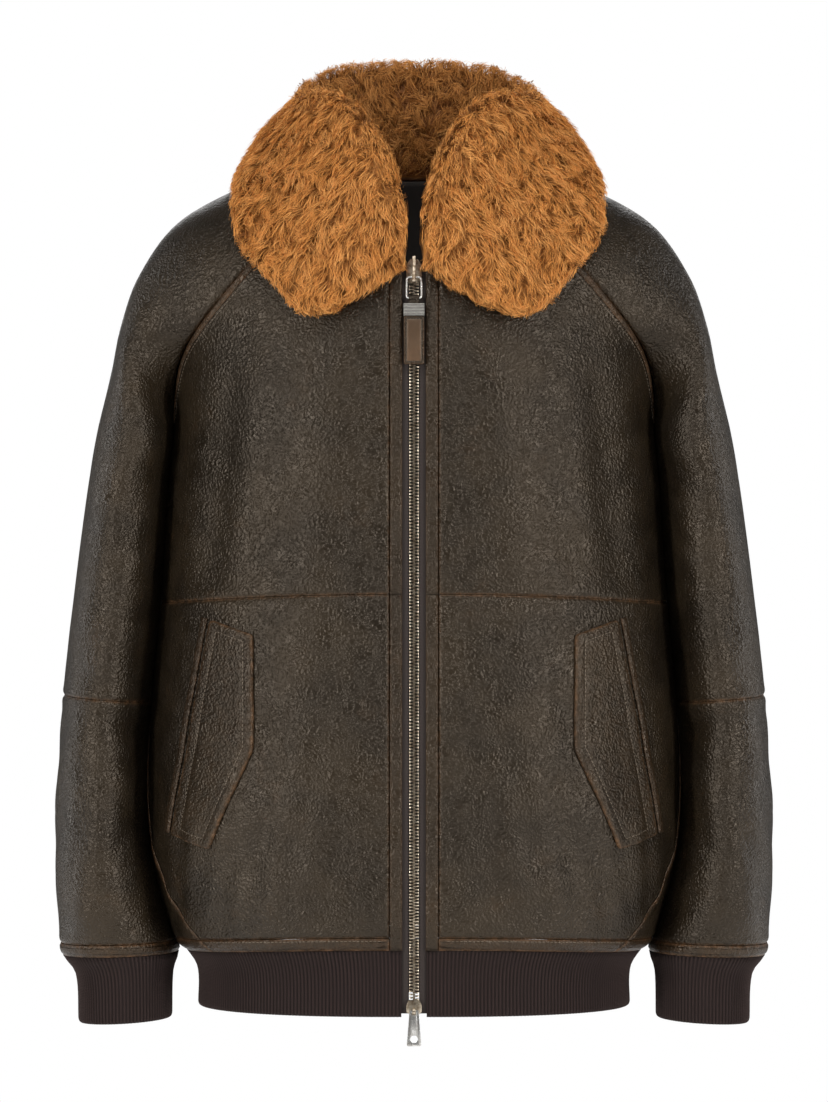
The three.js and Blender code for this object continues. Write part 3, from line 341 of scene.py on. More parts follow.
# Curves and tables of the pattern. A level is 0 at the neckline, 1 at the underarm and one
# more for each 100 mm down; depth is measured from the middle plane out.
pattern = {
    "wall": 2.5,
    "seamGap": 0.3,
    "underarmZ": -228,
    "levelStep": 100,
    "yokeLength": 190,  # of the part above the underarm
    "waistLevel": 2.4,
    "elbowLevel": 3.24,
    "edgeTopLevel": 5.17,
    "edgeEndLevel": 5.27,
    "cuffEdgeTopLevel": 5.3,
    "cuffEdgeEndLevel": 5.4,
    "hemEndLevel": 5.81,
    "cuffEndLevel": 5.95,
    "placketInnerX": 9.5,
    "placketOuterX": 19.4,
    "teethHalfWidth": 3.75,
    "edgeRise": 0.6,
}
panelStartX = pattern["placketOuterX"] + pattern["seamGap"]
halfGap = pattern["seamGap"] / 2
levelGap = halfGap / pattern["levelStep"]
aroundGap = 0.0009
backStart = 1.00001


def smooth(names, stations):
    columns = names.split()
    table = np.array(stations, float)
    knots = table[:, 0]

    def read(at):
        at = np.asarray(at, float)
        i = np.clip(np.searchsorted(knots, at, side="left") - 1, 0, len(knots) - 2)
        a, b = table[i], table[i + 1]
        before, after = table[np.maximum(i - 1, 0)], table[np.minimum(i + 2, len(knots) - 1)]
        span = b[..., :1] - a[..., :1]
        t = np.clip((at[..., None] - a[..., :1]) / span, 0, 1)
        startSlope = (b - before) / (b[..., :1] - before[..., :1]) * span
        endSlope = (after - a) / (after[..., :1] - a[..., :1]) * span
        row = (2 * t**3 - 3 * t**2 + 1) * a + (t**3 - 2 * t**2 + t) * startSlope
        row = row + (3 * t**2 - 2 * t**3) * b + (t**3 - t**2) * endSlope
        return {name: row[..., k] for k, name in enumerate(columns) if k}

    return read


torsoNames = "at centreDepth centreZ seamX seamDepth seamZ turn rise pullCentre pullSeam"
torsoFront = smooth(torsoNames, [
    [0, 100, -90, 72, 48, -36, 70, 0.6, 26, 34],
    [0.25, 106, -122, 108, 70, -73, 30, 0.45, 45, 30],
    [0.5, 111, -152, 141, 78, -107, 24, 0.4, 60, 36],
    [0.7, 114, -180, 176, 60, -149, 36, 0.26, 80, 45],
    [0.85, 116, -203, 192, 36, -176, 62, 0.12, 96, 54],
    [0.93, 117, -216, 198, 15, -202, 78, 0.06, 103, 64],
    [1, 118, -228, 199, -5, -228, 90, 0, 110, 74],
    [1.4, 119, -268, 203, -6, -269, 90, 0, 112, 75],
    [2.1, 122, -338, 207.5, -6, -344, 90, 0, 115, 77],
    [2.4, 124, -368, 210, -6, -376, 90, 0, 116, 78],
    [3.2, 129, -448, 217, -6, -456, 90, 0, 120, 81],
    [4, 133, -528, 220.5, -6, -536, 90, 0, 123, 84],
    [4.5, 132, -578, 217, -6, -586, 90, 0, 121, 83],
    [5, 128, -628, 205, -6, -636, 90, 0, 114, 80],
    [5.2, 124, -648, 197, -6, -656, 90, 0, 110, 77],
    [5.27, 121, -655, 189, -6, -663, 90, 0, 107, 75],
    [5.45, 117.5, -673, 180, -6, -678, 90, 0, 102, 73],
    [5.81, 116.5, -709, 179.5, -6, -709, 90, 0, 101, 72],
])
torsoBack = smooth(torsoNames, [
    [0, 78, -20, 60, 62, -8, 40, 0.1, 34, 20],
    [0.25, 92, -62, 104, 78, -58, 30, 0.38, 54, 30],
    [0.5, 102, -108, 142, 82, -100, 26, 0.36, 66, 38],
    [0.7, 108, -148, 176, 66, -142, 38, 0.2, 82, 46],
    [0.85, 112, -182, 192, 46, -172, 60, 0.1, 98, 52],
    [0.93, 113, -206, 198, 28, -200, 76, 0.05, 106, 56],
    [1, 114, -228, 199, 5, -228, 90, 0, 116, 64],
    [1.4, 116, -268, 203, 6, -269, 90, 0, 118, 66],
    [2.1, 117, -344, 207.5, 6, -344, 90, 0, 121, 67],
    [2.4, 118, -376, 210, 6, -376, 90, 0, 122, 68],
    [3.2, 122, -456, 217, 6, -456, 90, 0, 127, 70],
    [4, 125, -536, 220.5, 6, -536, 90, 0, 129, 72],
    [4.5, 124, -586, 217, 6, -586, 90, 0, 127, 71],
    [5, 120, -636, 205, 6, -636, 90, 0, 120, 69],
    [5.2, 115, -656, 197, 6, -656, 90, 0, 115, 66],
    [5.27, 112, -663, 189, 6, -663, 90, 0, 112, 64],
    [5.45, 108.5, -678, 180, 6, -678, 90, 0, 107, 62],
    [5.81, 107.5, -709, 179.5, 6, -709, 90, 0, 106, 61],
])
sleeveNames = "at seamX seamDepth seamZ lean rise pullSeam pullOuter"
sleeveFront = smooth(sleeveNames, [
    [0, 72, 48, -36, -70, 0.6, 23, 23],
    [0.25, 108, 70, -73, -30, 0.45, 34, 36],
    [0.5, 141, 78, -107, -22, 0.4, 42, 46],
    [0.7, 176, 60, -149, 2, 0.26, 44, 54],
    [0.85, 192, 36, -176, 40, 0.12, 56, 70],
    [0.93, 198, 15, -202, 68, 0.06, 80, 86],
    [1, 199, -5, -228, 90, 0, 99, 99],
    [1.46, 204.2, -7, -274, 90, 0, 105, 105],
    [2.45, 211.4, -8, -376, 90, 0, 106, 106],
    [3.24, 218.9, -9, -458, 90, 0, 105, 105],
    [3.95, 222.1, -9, -528, 90, 0, 102, 102],
    [4.45, 219.3, -9, -576, 90, 0, 98, 98],
    [4.95, 209.2, -9, -622, 90, 0, 91, 91],
    [5.2, 200.4, -9, -646, 90, 0, 84, 84],
    [5.4, 195.5, -9, -665, 90, 0, 76, 76],
    [5.55, 200, -9, -681, 90, 0, 69, 69],
    [5.95, 201, -9, -720, 90, 0, 67, 67],
])
sleeveBack = smooth(sleeveNames, [
    [0, 60, 62, -8, -40, 0.1, 23, 23],
    [0.25, 104, 78, -58, -30, 0.38, 36, 38],
    [0.5, 142, 82, -100, -22, 0.36, 44, 48],
    [0.7, 176, 66, -142, -2, 0.2, 46, 56],
    [0.85, 192, 46, -172, 36, 0.1, 56, 72],
    [0.93, 198, 28, -200, 64, 0.05, 78, 86],
    [1, 199, 5, -228, 90, 0, 100, 100],
    [1.46, 204.2, 7, -274, 90, 0, 105, 105],
    [2.45, 211.4, 8, -376, 90, 0, 103, 103],
    [3.24, 218.9, 9, -458, 90, 0, 99, 99],
    [3.95, 222.1, 9, -528, 90, 0, 94, 94],
    [4.45, 219.3, 9, -576, 90, 0, 87, 87],
    [4.95, 209.2, 9, -622, 90, 0, 77, 77],
    [5.2, 200.4, 9, -646, 90, 0, 68, 68],
    [5.4, 195.5, 9, -665, 90, 0, 60, 60],
    [5.55, 200, 9, -681, 90, 0, 54, 54],
    [5.95, 201, 9, -720, 90, 0, 52, 52],
])
outerLine = smooth("at x y z", [
    [0, 80, 10, 0],
    [0.25, 135, 10, -26],
    [0.5, 196, 10, -60],
    [0.7, 229, 11, -105],
    [0.85, 244, 12, -149],
    [0.93, 251, 12, -184],
    [1, 262, 12, -228],
    [1.46, 270, 12, -274],
    [1.96, 277, 12, -324],
    [2.45, 283, 11, -373],
    [2.95, 289, 11, -423],
    [3.45, 293, 10, -473],
    [3.95, 295.5, 10, -523],
    [4.7, 297, 9, -598],
    [5.2, 295, 9, -648],
    [5.4, 292, 9, -668],
    [5.55, 281.5, 9, -683],
    [5.95, 279, 9, -724],
])


def vector(x, y, z):
    return np.stack(np.broadcast_arrays(x, y, z), -1).astype(float)


def bezier(a, b, c, d, t):
    t = t[..., None]
    s = 1 - t
    return a * s**3 + b * 3 * s * s * t + c * 3 * s * t * t + d * t**3


def torsoPoint(s, at, share):  # s is -1 for the front and 1 for the back
    row = (torsoFront if s < 0 else torsoBack)(at)
    turn = np.radians(row["turn"])
    heading = vector(np.cos(turn), -s * np.sin(turn), row["rise"])
    centre = vector(panelStartX if s < 0 else 0, s * row["centreDepth"], row["centreZ"])
    seam = vector(row["seamX"] - halfGap, s * row["seamDepth"], row["seamZ"])
    afterCentre = centre + vector(row["pullCentre"], 0, 0)
    return bezier(centre, afterCentre, seam - heading * row["pullSeam"][..., None], seam, share)


def sleevePoint(s, at, share):
    row = (sleeveFront if s < 0 else sleeveBack)(at)
    line = outerLine(at)
    lean = np.radians(row["lean"])
    heading = vector(np.cos(lean), s * np.sin(lean), row["rise"])
    seam = vector(row["seamX"] + halfGap, s * row["seamDepth"], row["seamZ"])
    outer = vector(line["x"], line["y"], line["z"])
    beforeOuter = outer + vector(0, s * row["pullOuter"], 0)
    return bezier(seam, seam + heading * row["pullSeam"][..., None], beforeOuter, outer, share)


def bodySurface(at, around):
    front = torsoPoint(-1, at, np.clip(around, 0, 1))
    back = torsoPoint(1, at, np.clip(2 - around, 0, 1))
    return np.where((around <= 1)[..., None], front, back)


def sleeveSurface(at, around):
    front = sleevePoint(-1, at, np.clip(around, 0, 1))
    back = sleevePoint(1, at, np.clip(2 - around, 0, 1))
    return np.where((around <= 1)[..., None], front, back)


smallStep = 0.01  # of a level or a share, for the direction of a surface


def surfaceFrame(surface, at, around, end, first, last):
    above, below = np.maximum(at - smallStep, 0), np.minimum(at + smallStep, end)
    before, after = np.maximum(around - smallStep, first), np.minimum(around + smallStep, last)
    downward = surface(below, around) - surface(above, around)
    onward = surface(at, after) - surface(at, before)
    return surface(at, around), unit(np.cross(downward, onward))


# Folds as seen from the front: from x, z to x, z, how far out (in, if below 0) and how wide
folds = {
    "sleeve": [
        (222, -110, 206, -206, -4.5, 9),
        (232, -108, 243, -214, 2.5, 9),
        (216, -250, 262, -400, -3, 12),
        (228, -480, 284, -420, -3, 10),
        (240, -520, 276, -640, 2.5, 12),
        (224, -122, 207, -214, -2.2, 3.5),
        (238, -128, 256, -236, 1.4, 6),
        (216, -322, 238, -342, -1.4, 4.5),
        (216, -352, 246, -366, -1.2, 5),
        (219, -386, 250, -388, -1.6, 4),
        (222, -420, 256, -408, -1.2, 5),
        (226, -500, 262, -530, -1.2, 6),
        (230, -560, 268, -604, -1.0, 7),
        (246, -636, 254, -664, -1.4, 4),
        (268, -628, 264, -664, 1.2, 5),
        (226, -634, 222, -660, 1.2, 5),
    ],
    "body": [
        (60, -190, 84, -350, 2.5, 16),
        (150, -200, 166, -350, -3, 14),
        (88, -400, 96, -600, 2.5, 16),
        (42, -240, 52, -350, 1.0, 11),
        (112, -230, 128, -340, -1.2, 12),
        (184, -232, 150, -262, -1.3, 6),
        (186, -262, 158, -296, -1.0, 7),
        (60, -560, 64, -640, -1.2, 7),
        (112, -580, 118, -645, 1.2, 8),
        (150, -600, 148, -650, -1.0, 7),
        (34, -600, 36, -645, 0.9, 6),
    ],
}
ripples = {"count": 14, "shortest": 34, "longest": 130, "height": 0.34}


def foldLift(group, x, z):
    lift = np.zeros_like(x)
    for fromX, fromZ, toX, toZ, height, width in folds[group]:
        alongX, alongZ = toX - fromX, toZ - fromZ
        length = math.hypot(alongX, alongZ)
        along = ((x - fromX) * alongX + (z - fromZ) * alongZ) / length**2
        across = ((x - fromX) * alongZ - (z - fromZ) * alongX) / length
        past = np.maximum(np.maximum(-along, along - 1), 0) * length
        lift += height * np.exp(-((across / width) ** 2) - (past / (2 * width)) ** 2)
    return lift


waves = [
    (2 * math.pi / chance.uniform(ripples["shortest"], ripples["longest"]), chance.uniform(0, math.pi),
     chance.uniform(0, 2 * math.pi))
    for _ in range(ripples["count"])
]


def rippleLift(point):
    # Slow unevenness of the hide, the same on every panel
    lift = 0
    for pitch, direction, start in waves:
        across = point[..., 0] * math.cos(direction) * 1.3 + point[..., 1] * 0.8
        lift = lift + np.sin(pitch * (across + point[..., 2] * math.sin(direction) * 0.8) + start)
    return lift * ripples["height"]


# How far a sleeve and the body swell toward each other, so that they touch as they hang
touch = smooth("at sleeve body", [
    [1.1, 0, 0],
    [1.4, 0.9, 0.5],
    [3.14, 0.9, 0.5],
    [3.24, 2.1, 0.9],
    [3.34, 1.0, 0.5],
    [3.9, 1.0, 0.6],
    [4.5, 1.5, 0.7],
    [5, 1.7, 0.8],
    [5.16, 0.6, 0.2],
    [5.25, 0, 0],
])


def easeAtEnds(share, margin):
    return np.clip(np.minimum(share, 1 - share) / margin, 0, 1)


def levelled(normal, at, fromLevel):
    # Close to a band the cloth stands upright
    return np.where((at > fromLevel - 0.1)[..., None], unit(normal * (1, 1, 0)), normal)


def bodyFrame(at, around):
    above = at < 1
    first = np.where(above & (around > 1), backStart, 0)
    last = np.where(above & (around <= 1), 1, 2)
    point, normal = surfaceFrame(bodySurface, at, around, pattern["hemEndLevel"], first, last)
    share = np.where(around <= 1, around, 2 - around)
    ease = easeAtEnds(share, 0.25) * easeAtEnds(np.abs(at - pattern["waistLevel"]) / 2, 0.1)
    lift = foldLift("body", point[..., 0], point[..., 2]) * ease
    calm = easeAtEnds(share, 0.12) * easeAtEnds((pattern["edgeTopLevel"] - at) / 2, 0.1)
    lift = lift + rippleLift(point) * calm
    lift = lift + touch(at)["body"] * np.exp(-(((around - 1) / 0.05) ** 2))
    return point + normal * lift[..., None], levelled(normal, at, pattern["edgeTopLevel"])


def sleeveFrame(at, around):
    point, normal = surfaceFrame(sleeveSurface, at, around, pattern["cuffEndLevel"], 0, 2)
    ease = easeAtEnds(around / 2, 0.1) * easeAtEnds(np.abs(at - pattern["elbowLevel"]) / 2, 0.1)
    onOuterLine = 1 - np.exp(-(((around - 1) / 0.2) ** 2))
    lift = foldLift("sleeve", point[..., 0], point[..., 2]) * ease * onOuterLine
    lift = lift + rippleLift(point) * ease * easeAtEnds((pattern["cuffEdgeTopLevel"] - at) / 2, 0.1)
    lift = lift + touch(at)["sleeve"] * np.exp(-((np.minimum(around, 2 - around) / 0.06) ** 2))
    return point + normal * lift[..., None], levelled(normal, at, pattern["cuffEdgeTopLevel"])


def backFrame(at, around):
    point, normal = bodyFrame(at, np.where(around > 2, 4 - around, around))
    side = np.where(around > 2, -1, 1)[..., None] * (1, 0, 0) + (0, 1, 1)
    return point * side, normal * side


def centreFrame(at, x):
    above = torsoFront(np.maximum(at - smallStep, 0))
    below = torsoFront(np.minimum(at + smallStep, pattern["hemEndLevel"]))
    row = torsoFront(at)
    down, out = (below[key] - above[key] for key in ("centreZ", "centreDepth"))
    normal = unit(vector(0, down, out))
    normal = np.where((at > pattern["edgeTopLevel"])[..., None], (0.0, -1.0, 0.0), normal)
    return vector(x, -row["centreDepth"], row["centreZ"]), normal


sideSeam = smooth("at around", [
    [0, 1], [3.5, 1], [4, 0.94], [4.4, 0.875], [4.8, 0.79], [5.17, 0.655], [5.27, 0.63],
])


def sideSeamAt(at):
    return np.where(at < 1, 1, sideSeam(at)["around"])


# Panels: cut, sewn and turned. Rows and columns are close together at sewn edges.
panelCut = {
    "spacing": 5.0,  # between points of a panel's middle
    "edgeSteps": [0, 0.6, 1.3, 2.2, 3.4, 5, 7.5],
    "seamDepth": 1.15,
    "seamRound": 1.5,
    "puff": 0.4,
    "wornWidth": 1.3,
    "edgeWear": 0.12,
    "frontWidth": 215,
    "backWidth": 440,
    "sleeveRound": 270,
}


def spaced(length, fineStart=True):
    # Places from 0 to 1 along a length, close together at a sewn end
    end = panelCut["edgeSteps"]
    start = end if fineStart else [0]
    count = max(int((length - start[-1] - end[-1]) / panelCut["spacing"]), 1)
    middle = np.linspace(start[-1], length - end[-1], count + 1)[1:-1]
    return np.concatenate([start, middle, length - np.array(end[::-1], float)]) / length


def edgeDistance(points, sewn):
    # How far each point of a grid lies from the nearest sewn edge
    nearest = np.full(points.shape[:2], 1e3)
    for axis, edges in ((0, ("top", "bottom")), (1, ("start", "end"))):
        steps = np.linalg.norm(np.diff(points, axis=axis), axis=-1)
        run = np.concatenate([np.zeros_like(np.take(steps, [0], axis)), np.cumsum(steps, axis)], axis)
        if edges[0] in sewn:
            nearest = np.minimum(nearest, run)
        if edges[1] in sewn:
            nearest = np.minimum(nearest, np.take(run, [-1], axis) - run)
    return nearest


def seamRelief(distance):
    drop = -panelCut["seamDepth"] * np.exp(-((distance / panelCut["seamRound"]) ** 2))
    return drop + panelCut["puff"] * np.exp(-(((distance - 5) / 3) ** 2))


def wornAt(distance):
    return 0.75 * np.exp(-((distance / panelCut["wornWidth"]) ** 2))


panels = {}  # piece, flat size and area of each


def panel(node, frameAt, levels, shares, mirror=False, edging=False):
    at = np.repeat(levels[:, None], shares(levels[0]).size, 1)
    around = np.array([shares(level) for level in levels])
    point, normal = frameAt(at, around)
    sewn = ("start", "end", "bottom") if levels[0] == 0 else ("start", "end", "top", "bottom")
    distance = edgeDistance(point, sewn)
    rise, rubbed = (pattern["edgeRise"], panelCut["edgeWear"]) if edging else (0, 0)
    outer = point + normal * (rise + seamRelief(distance))[..., None]
    inner = point - normal * pattern["wall"]
    wearAndRibShade = np.clip(wornAt(distance) + rubbed, 0, 1)
    look, slot = (edgeLeather, "edge_leather") if edging else (leather, "leather")
    piece = wallPiece(f"skin_{node}", node, outer, inner, mirror, [look, lining], slot, wearAndRibShade)
    down, across = np.diff(point, axis=0), np.diff(point, axis=1)
    width = np.linalg.norm(across, axis=-1).sum(1).max()
    length = np.linalg.norm(down, axis=-1).sum(0).max()
    area = np.linalg.norm(np.cross(down[:, :-1], across[:-1]), axis=-1).sum()
    panels[node] = piece, (float(width) * mm, float(length) * mm), float(area) * mm * mm


def layOut(flat, area):
    area = min(max(area, 0.3 * flat[0] * flat[1]), flat[0] * flat[1])


def levelRun(top, end):
    # Levels of a panel; above the underarm a level is longer than lower down
    if top >= 1:
        return top + (end - top) * spaced((end - top) * pattern["levelStep"])
    yoke = (1 - top) * pattern["yokeLength"]
    length = (end - 1) * pattern["levelStep"] + yoke
    places, split = spaced(length, False), yoke / length
    above = top + (1 - top) * places / split
    below = 1 + (end - 1) * (places - split) / (1 - split)
    return np.where(places < split, above, below)


def shareRun(length, first, last):
    places = spaced(length)
    return lambda at: first(at) + (last(at) - first(at)) * places


sides = (("left", False), ("right", True))
waist, elbow = pattern["waistLevel"], pattern["elbowLevel"]
hemTop, cuffTop = pattern["edgeTopLevel"], pattern["cuffEdgeTopLevel"]


def cutBody():
    upper = levelRun(0, waist - levelGap)
    lower = levelRun(waist + levelGap, hemTop - levelGap)
    edge = levelRun(hemTop + levelGap, pattern["edgeEndLevel"])
    frontEndAt = lambda at: sideSeamAt(at) - np.where(at < 1, 0, aroundGap)
    frontShares = shareRun(panelCut["frontWidth"], lambda at: 0, frontEndAt)
    for side, mirror in sides:
        panel(f"front_upper_{side}", bodyFrame, upper, frontShares, mirror)
        panel(f"front_lower_{side}", bodyFrame, lower, frontShares, mirror)
        panel(f"hem_edge_{side}", bodyFrame, edge, frontShares, mirror, True)
    backStartAt = lambda at: np.where(at < 1, backStart, sideSeamAt(at) + aroundGap)
    backShares = shareRun(panelCut["backWidth"], backStartAt, lambda at: 4 - backStartAt(at))
    panel("back", backFrame, levelRun(0, hemTop - levelGap), backShares)
    panel("hem_edge_back", backFrame, edge, backShares, edging=True)


def cutSleeves():
    upper = levelRun(0, elbow - levelGap)
    lower = levelRun(elbow + levelGap, cuffTop - levelGap)
    edge = levelRun(cuffTop + levelGap, pattern["cuffEdgeEndLevel"])
    gap = lambda at: np.where(at < 1, 0, aroundGap)
    shares = shareRun(panelCut["sleeveRound"], gap, lambda at: 2 - gap(at))
    for side, mirror in sides:
        panel(f"sleeve_upper_{side}", sleeveFrame, upper, shares, mirror)
        panel(f"sleeve_lower_{side}", sleeveFrame, lower, shares, mirror)
        panel(f"sleeve_edge_{side}", sleeveFrame, edge, shares, mirror, True)


cutBody()
cutSleeves()
print("panels cut:", len(panels))

# Strips that cover the seams, and the strips beside the zip
stripCut = {
    "halfWidth": 2.6,
    "sideHalfShare": 0.0115,
    "raglanLevels": (0.13, 1.0),
    "sideLevels": (3.4, 5.1685),
    "rise": 1.7,
    "thick": 1.2,
    "crown": 0.85,  # how far the strip's edges lie under its middle
    "wearAndRibShade": 0.3,
}
raglanStrip = smooth("at fromSeam", [[0, 3.2], [0.7, 3.2], [0.85, 5], [0.93, 8.5], [1, 12]])
acrossStrip = np.array([-1, -0.8, -0.5, 0, 0.5, 0.8, 1])


def ribbon(name, node, frameAt, levels, shares, mirror, cut, look=edgeLeather, slot="edge_leather"):
    at = np.repeat(levels[:, None], acrossStrip.size, 1)
    around = np.stack([shares(level) for level in levels])
    point, normal = frameAt(at, around)
    lift = cut["rise"] - cut["crown"] * np.abs(acrossStrip) ** 3
    outer = point + normal * lift[None, :, None]
    inner = point + normal * (cut["rise"] - cut["thick"])
    wearAndRibShade = np.clip(cut["wearAndRibShade"] + 0.35 * np.abs(acrossStrip) ** 6, 0, 1)
    return wallPiece(name, node, outer, inner, mirror, [look], slot, wearAndRibShade)


def raglanShares(side, offsets):
    table = torsoFront if side == "front" else torsoBack

    def shares(at):
        perMillimetre = 1 / (3 * table(at)["pullSeam"])
        places = 1 - (raglanStrip(at)["fromSeam"] - offsets) * perMillimetre
        return places if side == "front" else 2 - places

    return shares


def coverSeams():
    levels = np.linspace(*stripCut["raglanLevels"], 56)
    lower = np.linspace(*stripCut["sideLevels"], 46)
    for side, mirror in sides:
        for face in ("front", "back"):
            across = acrossStrip * stripCut["halfWidth"] * (1 if face == "front" else -1)
            ribbon(
                f"strip_raglan_{face}_{side}", f"raglan_strip_{face}_{side}", bodyFrame, levels,
                raglanShares(face, across), mirror, stripCut)
        along = lambda at: sideSeamAt(at) + acrossStrip * stripCut["sideHalfShare"]
        ribbon(f"strip_side_{side}", f"side_strip_{side}", bodyFrame, lower, along,
                                       mirror, stripCut)


coverSeams()

placketCut = {"rise": 1.0, "thick": 2.5, "crown": 0.7, "wearAndRibShade": 0.0}
tapeCut = {
    "rise": placketCut["rise"] - placketCut["thick"] - pattern["seamGap"],
    "thick": 1.0,
    "crown": 0.25,
    "wearAndRibShade": 0.3,
}
zipCut = {
    "tapeOuterX": 17.4,
    "tapeHemX": 10.35,
    "topLevel": 0.03,
    "chainTopZ": -109.3,
    "chainEndZ": -701.0,
    "tapeEndZ": -706.0,
    "toothPitch": 2.6,
    "toothHeight": 1.25,
    "toothFront": -0.4,
    "toothBack": -3.8,
}
tapeInnerX = pattern["teethHalfWidth"] + pattern["seamGap"]
tapeSpread = smooth("at x", [[0.02, 8], [0.13, 4.6], [0.2, tapeInnerX], [0.5, tapeInnerX]])


def centreLevel(z):
    low, high = 0.0, pattern["hemEndLevel"]
    for _ in range(40):
        middle = (low + high) / 2
        if torsoFront(middle)["centreZ"] > z:
            low = middle
        else:
            high = middle
    return low


def layPlackets():
    middle = (pattern["placketInnerX"] + pattern["placketOuterX"]) / 2
    half = (pattern["placketOuterX"] - pattern["placketInnerX"]) / 2
    for side, mirror in sides:
        for part, top, end in (("upper", zipCut["topLevel"], waist - levelGap),
                               ("lower", waist + levelGap, pattern["edgeEndLevel"])):
            levels = np.linspace(top, end, int((end - top) * 24) + 2)
            ribbon(
                f"placket_{part}_{side}_strip", f"placket_{part}_{side}", centreFrame, levels,
                lambda at: middle + half * acrossStrip, mirror, placketCut)


def wovenMaterial(name, direction, wave, dark, bright, depth, strength, roughness, metallic=0.0):
    material, tree, shader = startMaterial(name)
    weave = waveNode(tree, direction, wave)
    setSockets(shader, {
        "Base Color": mixColours(tree, weave, dark, bright),
        "Normal": bumpNode(tree, weave, depth, strength),
        "Roughness": roughness,
        "Metallic": metallic,
    })
    return material


def metalMaterial(name, dark, bright, roughness):
    material, tree, shader = startMaterial(name)
    place = objectPlace(tree)
    tarnish = noiseNode(tree, place, 0.004, 5.0, 0.65)
    scratch = noiseNode(tree, place, 0.0009, 2.0)
    setSockets(shader, {
        "Base Color": mixColours(tree, rangeNode(tree, tarnish, 0.35, 0.65), dark, bright),
        "Normal": bumpNode(tree, scratch, 0.00003, 0.6),
        "Roughness": rangeNode(tree, tarnish, 0.3, 0.7, roughness + 0.12, roughness),
        "Metallic": 1.0,
    })
    return material


agedBrass = metalMaterial("agedBrass", (0.2, 0.15, 0.1), (0.56, 0.48, 0.37), 0.28)
wornSteel = metalMaterial("wornSteel", (0.42, 0.40, 0.37), (0.76, 0.75, 0.72), 0.24)
tapeLook = wovenMaterial("zipTape", "DIAGONAL", {"Scale": 420, "Distortion": 1.2}, (0.012, 0.0075, 0.006),
                         (0.03, 0.019, 0.015), 0.0002, 0.7, 0.85)


def layTapes():
    end = pattern["edgeEndLevel"]
    levels = np.concatenate([
        np.linspace(zipCut["topLevel"], end - 0.01, 130),
        np.linspace(end - 0.009, centreLevel(zipCut["tapeEndZ"]), 10),
    ])

    def edges(at):
        inner = tapeSpread(at)["x"] if at < 0.5 else tapeInnerX
        outer = zipCut["tapeOuterX"] if at < end - 0.0095 else zipCut["tapeHemX"]
        return inner + (outer - inner) * (acrossStrip + 1) / 2

    for side, mirror in sides:
        ribbon(f"zip_tape_{side}_woven", f"zip_tape_{side}", centreFrame, levels,
                                       edges, mirror, tapeCut, tapeLook, "tape")


def cutTeeth():
    # Each tooth clamps the tape's cord and ends in a head that sits between two opposite heads
    half, cord = zipCut["toothHeight"] / 2, pattern["teethHalfWidth"]
    upper = half * np.array([(0, 1), (0, 1), (0, 0.62), (0, 0.95), (0, 0.8)])
    upper[:, 0] = (cord, 1.7, 1.0, 0.4, -0.75)
    outline = np.vstack([(cord, -half), upper, (-1.1, 0), upper[:0:-1] * (1, -1)])
    rings = ((zipCut["toothBack"], 1.0), (zipCut["toothFront"] - 0.45, 1.0), (zipCut["toothFront"], 0.7))
    count = len(outline)
    centre = outline.mean(0)
    shape = np.concatenate([
        np.column_stack([centre + (outline - centre) * scale, np.full(count, depth)])
        for depth, scale in rings
    ])
    walls = ringFaces(len(rings), count)
    ends = [list(range(count))[::-1], [2 * count + i for i in range(count)]]
    length = zipCut["chainTopZ"] - zipCut["chainEndZ"]
    samples = np.linspace(centreLevel(zipCut["chainTopZ"]), centreLevel(zipCut["chainEndZ"]), 1500)
    run = runAlong(centreFrame(samples, 0)[0])
    for side, mirror in sides:
        start = zipCut["toothPitch"] * (0.75 if mirror else 0.25)
        places = np.arange(start, min(length, run[-1]) - 0.7, zipCut["toothPitch"])
        at = np.interp(places, run, samples)
        point, normal = centreFrame(at, 0)
        down = np.cross(normal, (1, 0, 0))
        vertices, faces = [], []
        for p, n, d in zip(point, normal, down):
            offset = len(vertices) * len(shape)
            wobble = chance.normal(0, 0.04, 2)
            vertices.append(p + np.outer(shape[:, 0], (1, 0, 0)) + np.outer(shape[:, 1] + wobble[0], d)
                            + np.outer(shape[:, 2] + wobble[1], n))
            faces += [[offset + i for i in face] for face in walls + ends]
        vertices = np.vstack(vertices) * ((-1 if mirror else 1), 1, 1)
        piece = makeMesh(f"zip_teeth_{side}_chain", vertices, faces, [agedBrass], "brass")
        tidyFaces(piece)
        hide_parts(f"zip_teeth_{side}")


def tidyFaces(piece, sharp=32):
    # Turns the faces outward and keeps crisp corners crisp
    edit = bmesh.new()
    edit.from_mesh(piece.data)
    bmesh.ops.recalc_face_normals(edit, faces=edit.faces)
    for edge in edit.edges:
        edge.smooth = len(edge.link_faces) == 2 and edge.calc_face_angle(0) < math.radians(sharp)
    edit.to_mesh(piece.data)
    edit.free()


layPlackets()
layTapes()
cutTeeth()

# Pocket flaps and their welts
flapCut = {
    "corners": [(129.5, -401), (164.6, -388.6), (197.2, -564.6), (164.6, -575), (129.3, -493)],
    "corner": 3.4,
    # inset from the outline and height of each ring of points
    "rings": [(2.5, 0.0), (0.1, 0.0), (0, 0.7), (0.2, 2.1), (0.8, 3.0), (2.0, 3.4), (4.5, 3.4), (6.6, 3.15),
              (7.5, 2.75), (8.3, 3.1), (10, 3.25), (12.5, 3.3)],
    "stitchInset": 7.5,
    "seat": 0.5,
    "weltRise": 2.2,
    "weltCrown": 1.1,
}
weltRows = smooth("at leftX leftZ rightX rightZ", [
    [0, 167.6, -388, 172.4, -386.6],
    [1, 171.5, -410, 176.3, -409],
    [2, 175.5, -432, 180.3, -431],
    [3, 180, -456, 184.8, -455.2],
    [4, 184.5, -479, 189.3, -478.4],
    [5, 188.4, -501, 193.2, -500.5],
    [6, 192, -522, 196.8, -521.6],
    [7, 195.3, -541, 200, -540.4],
    [8, 199, -563.5, 203.6, -562.5],
])


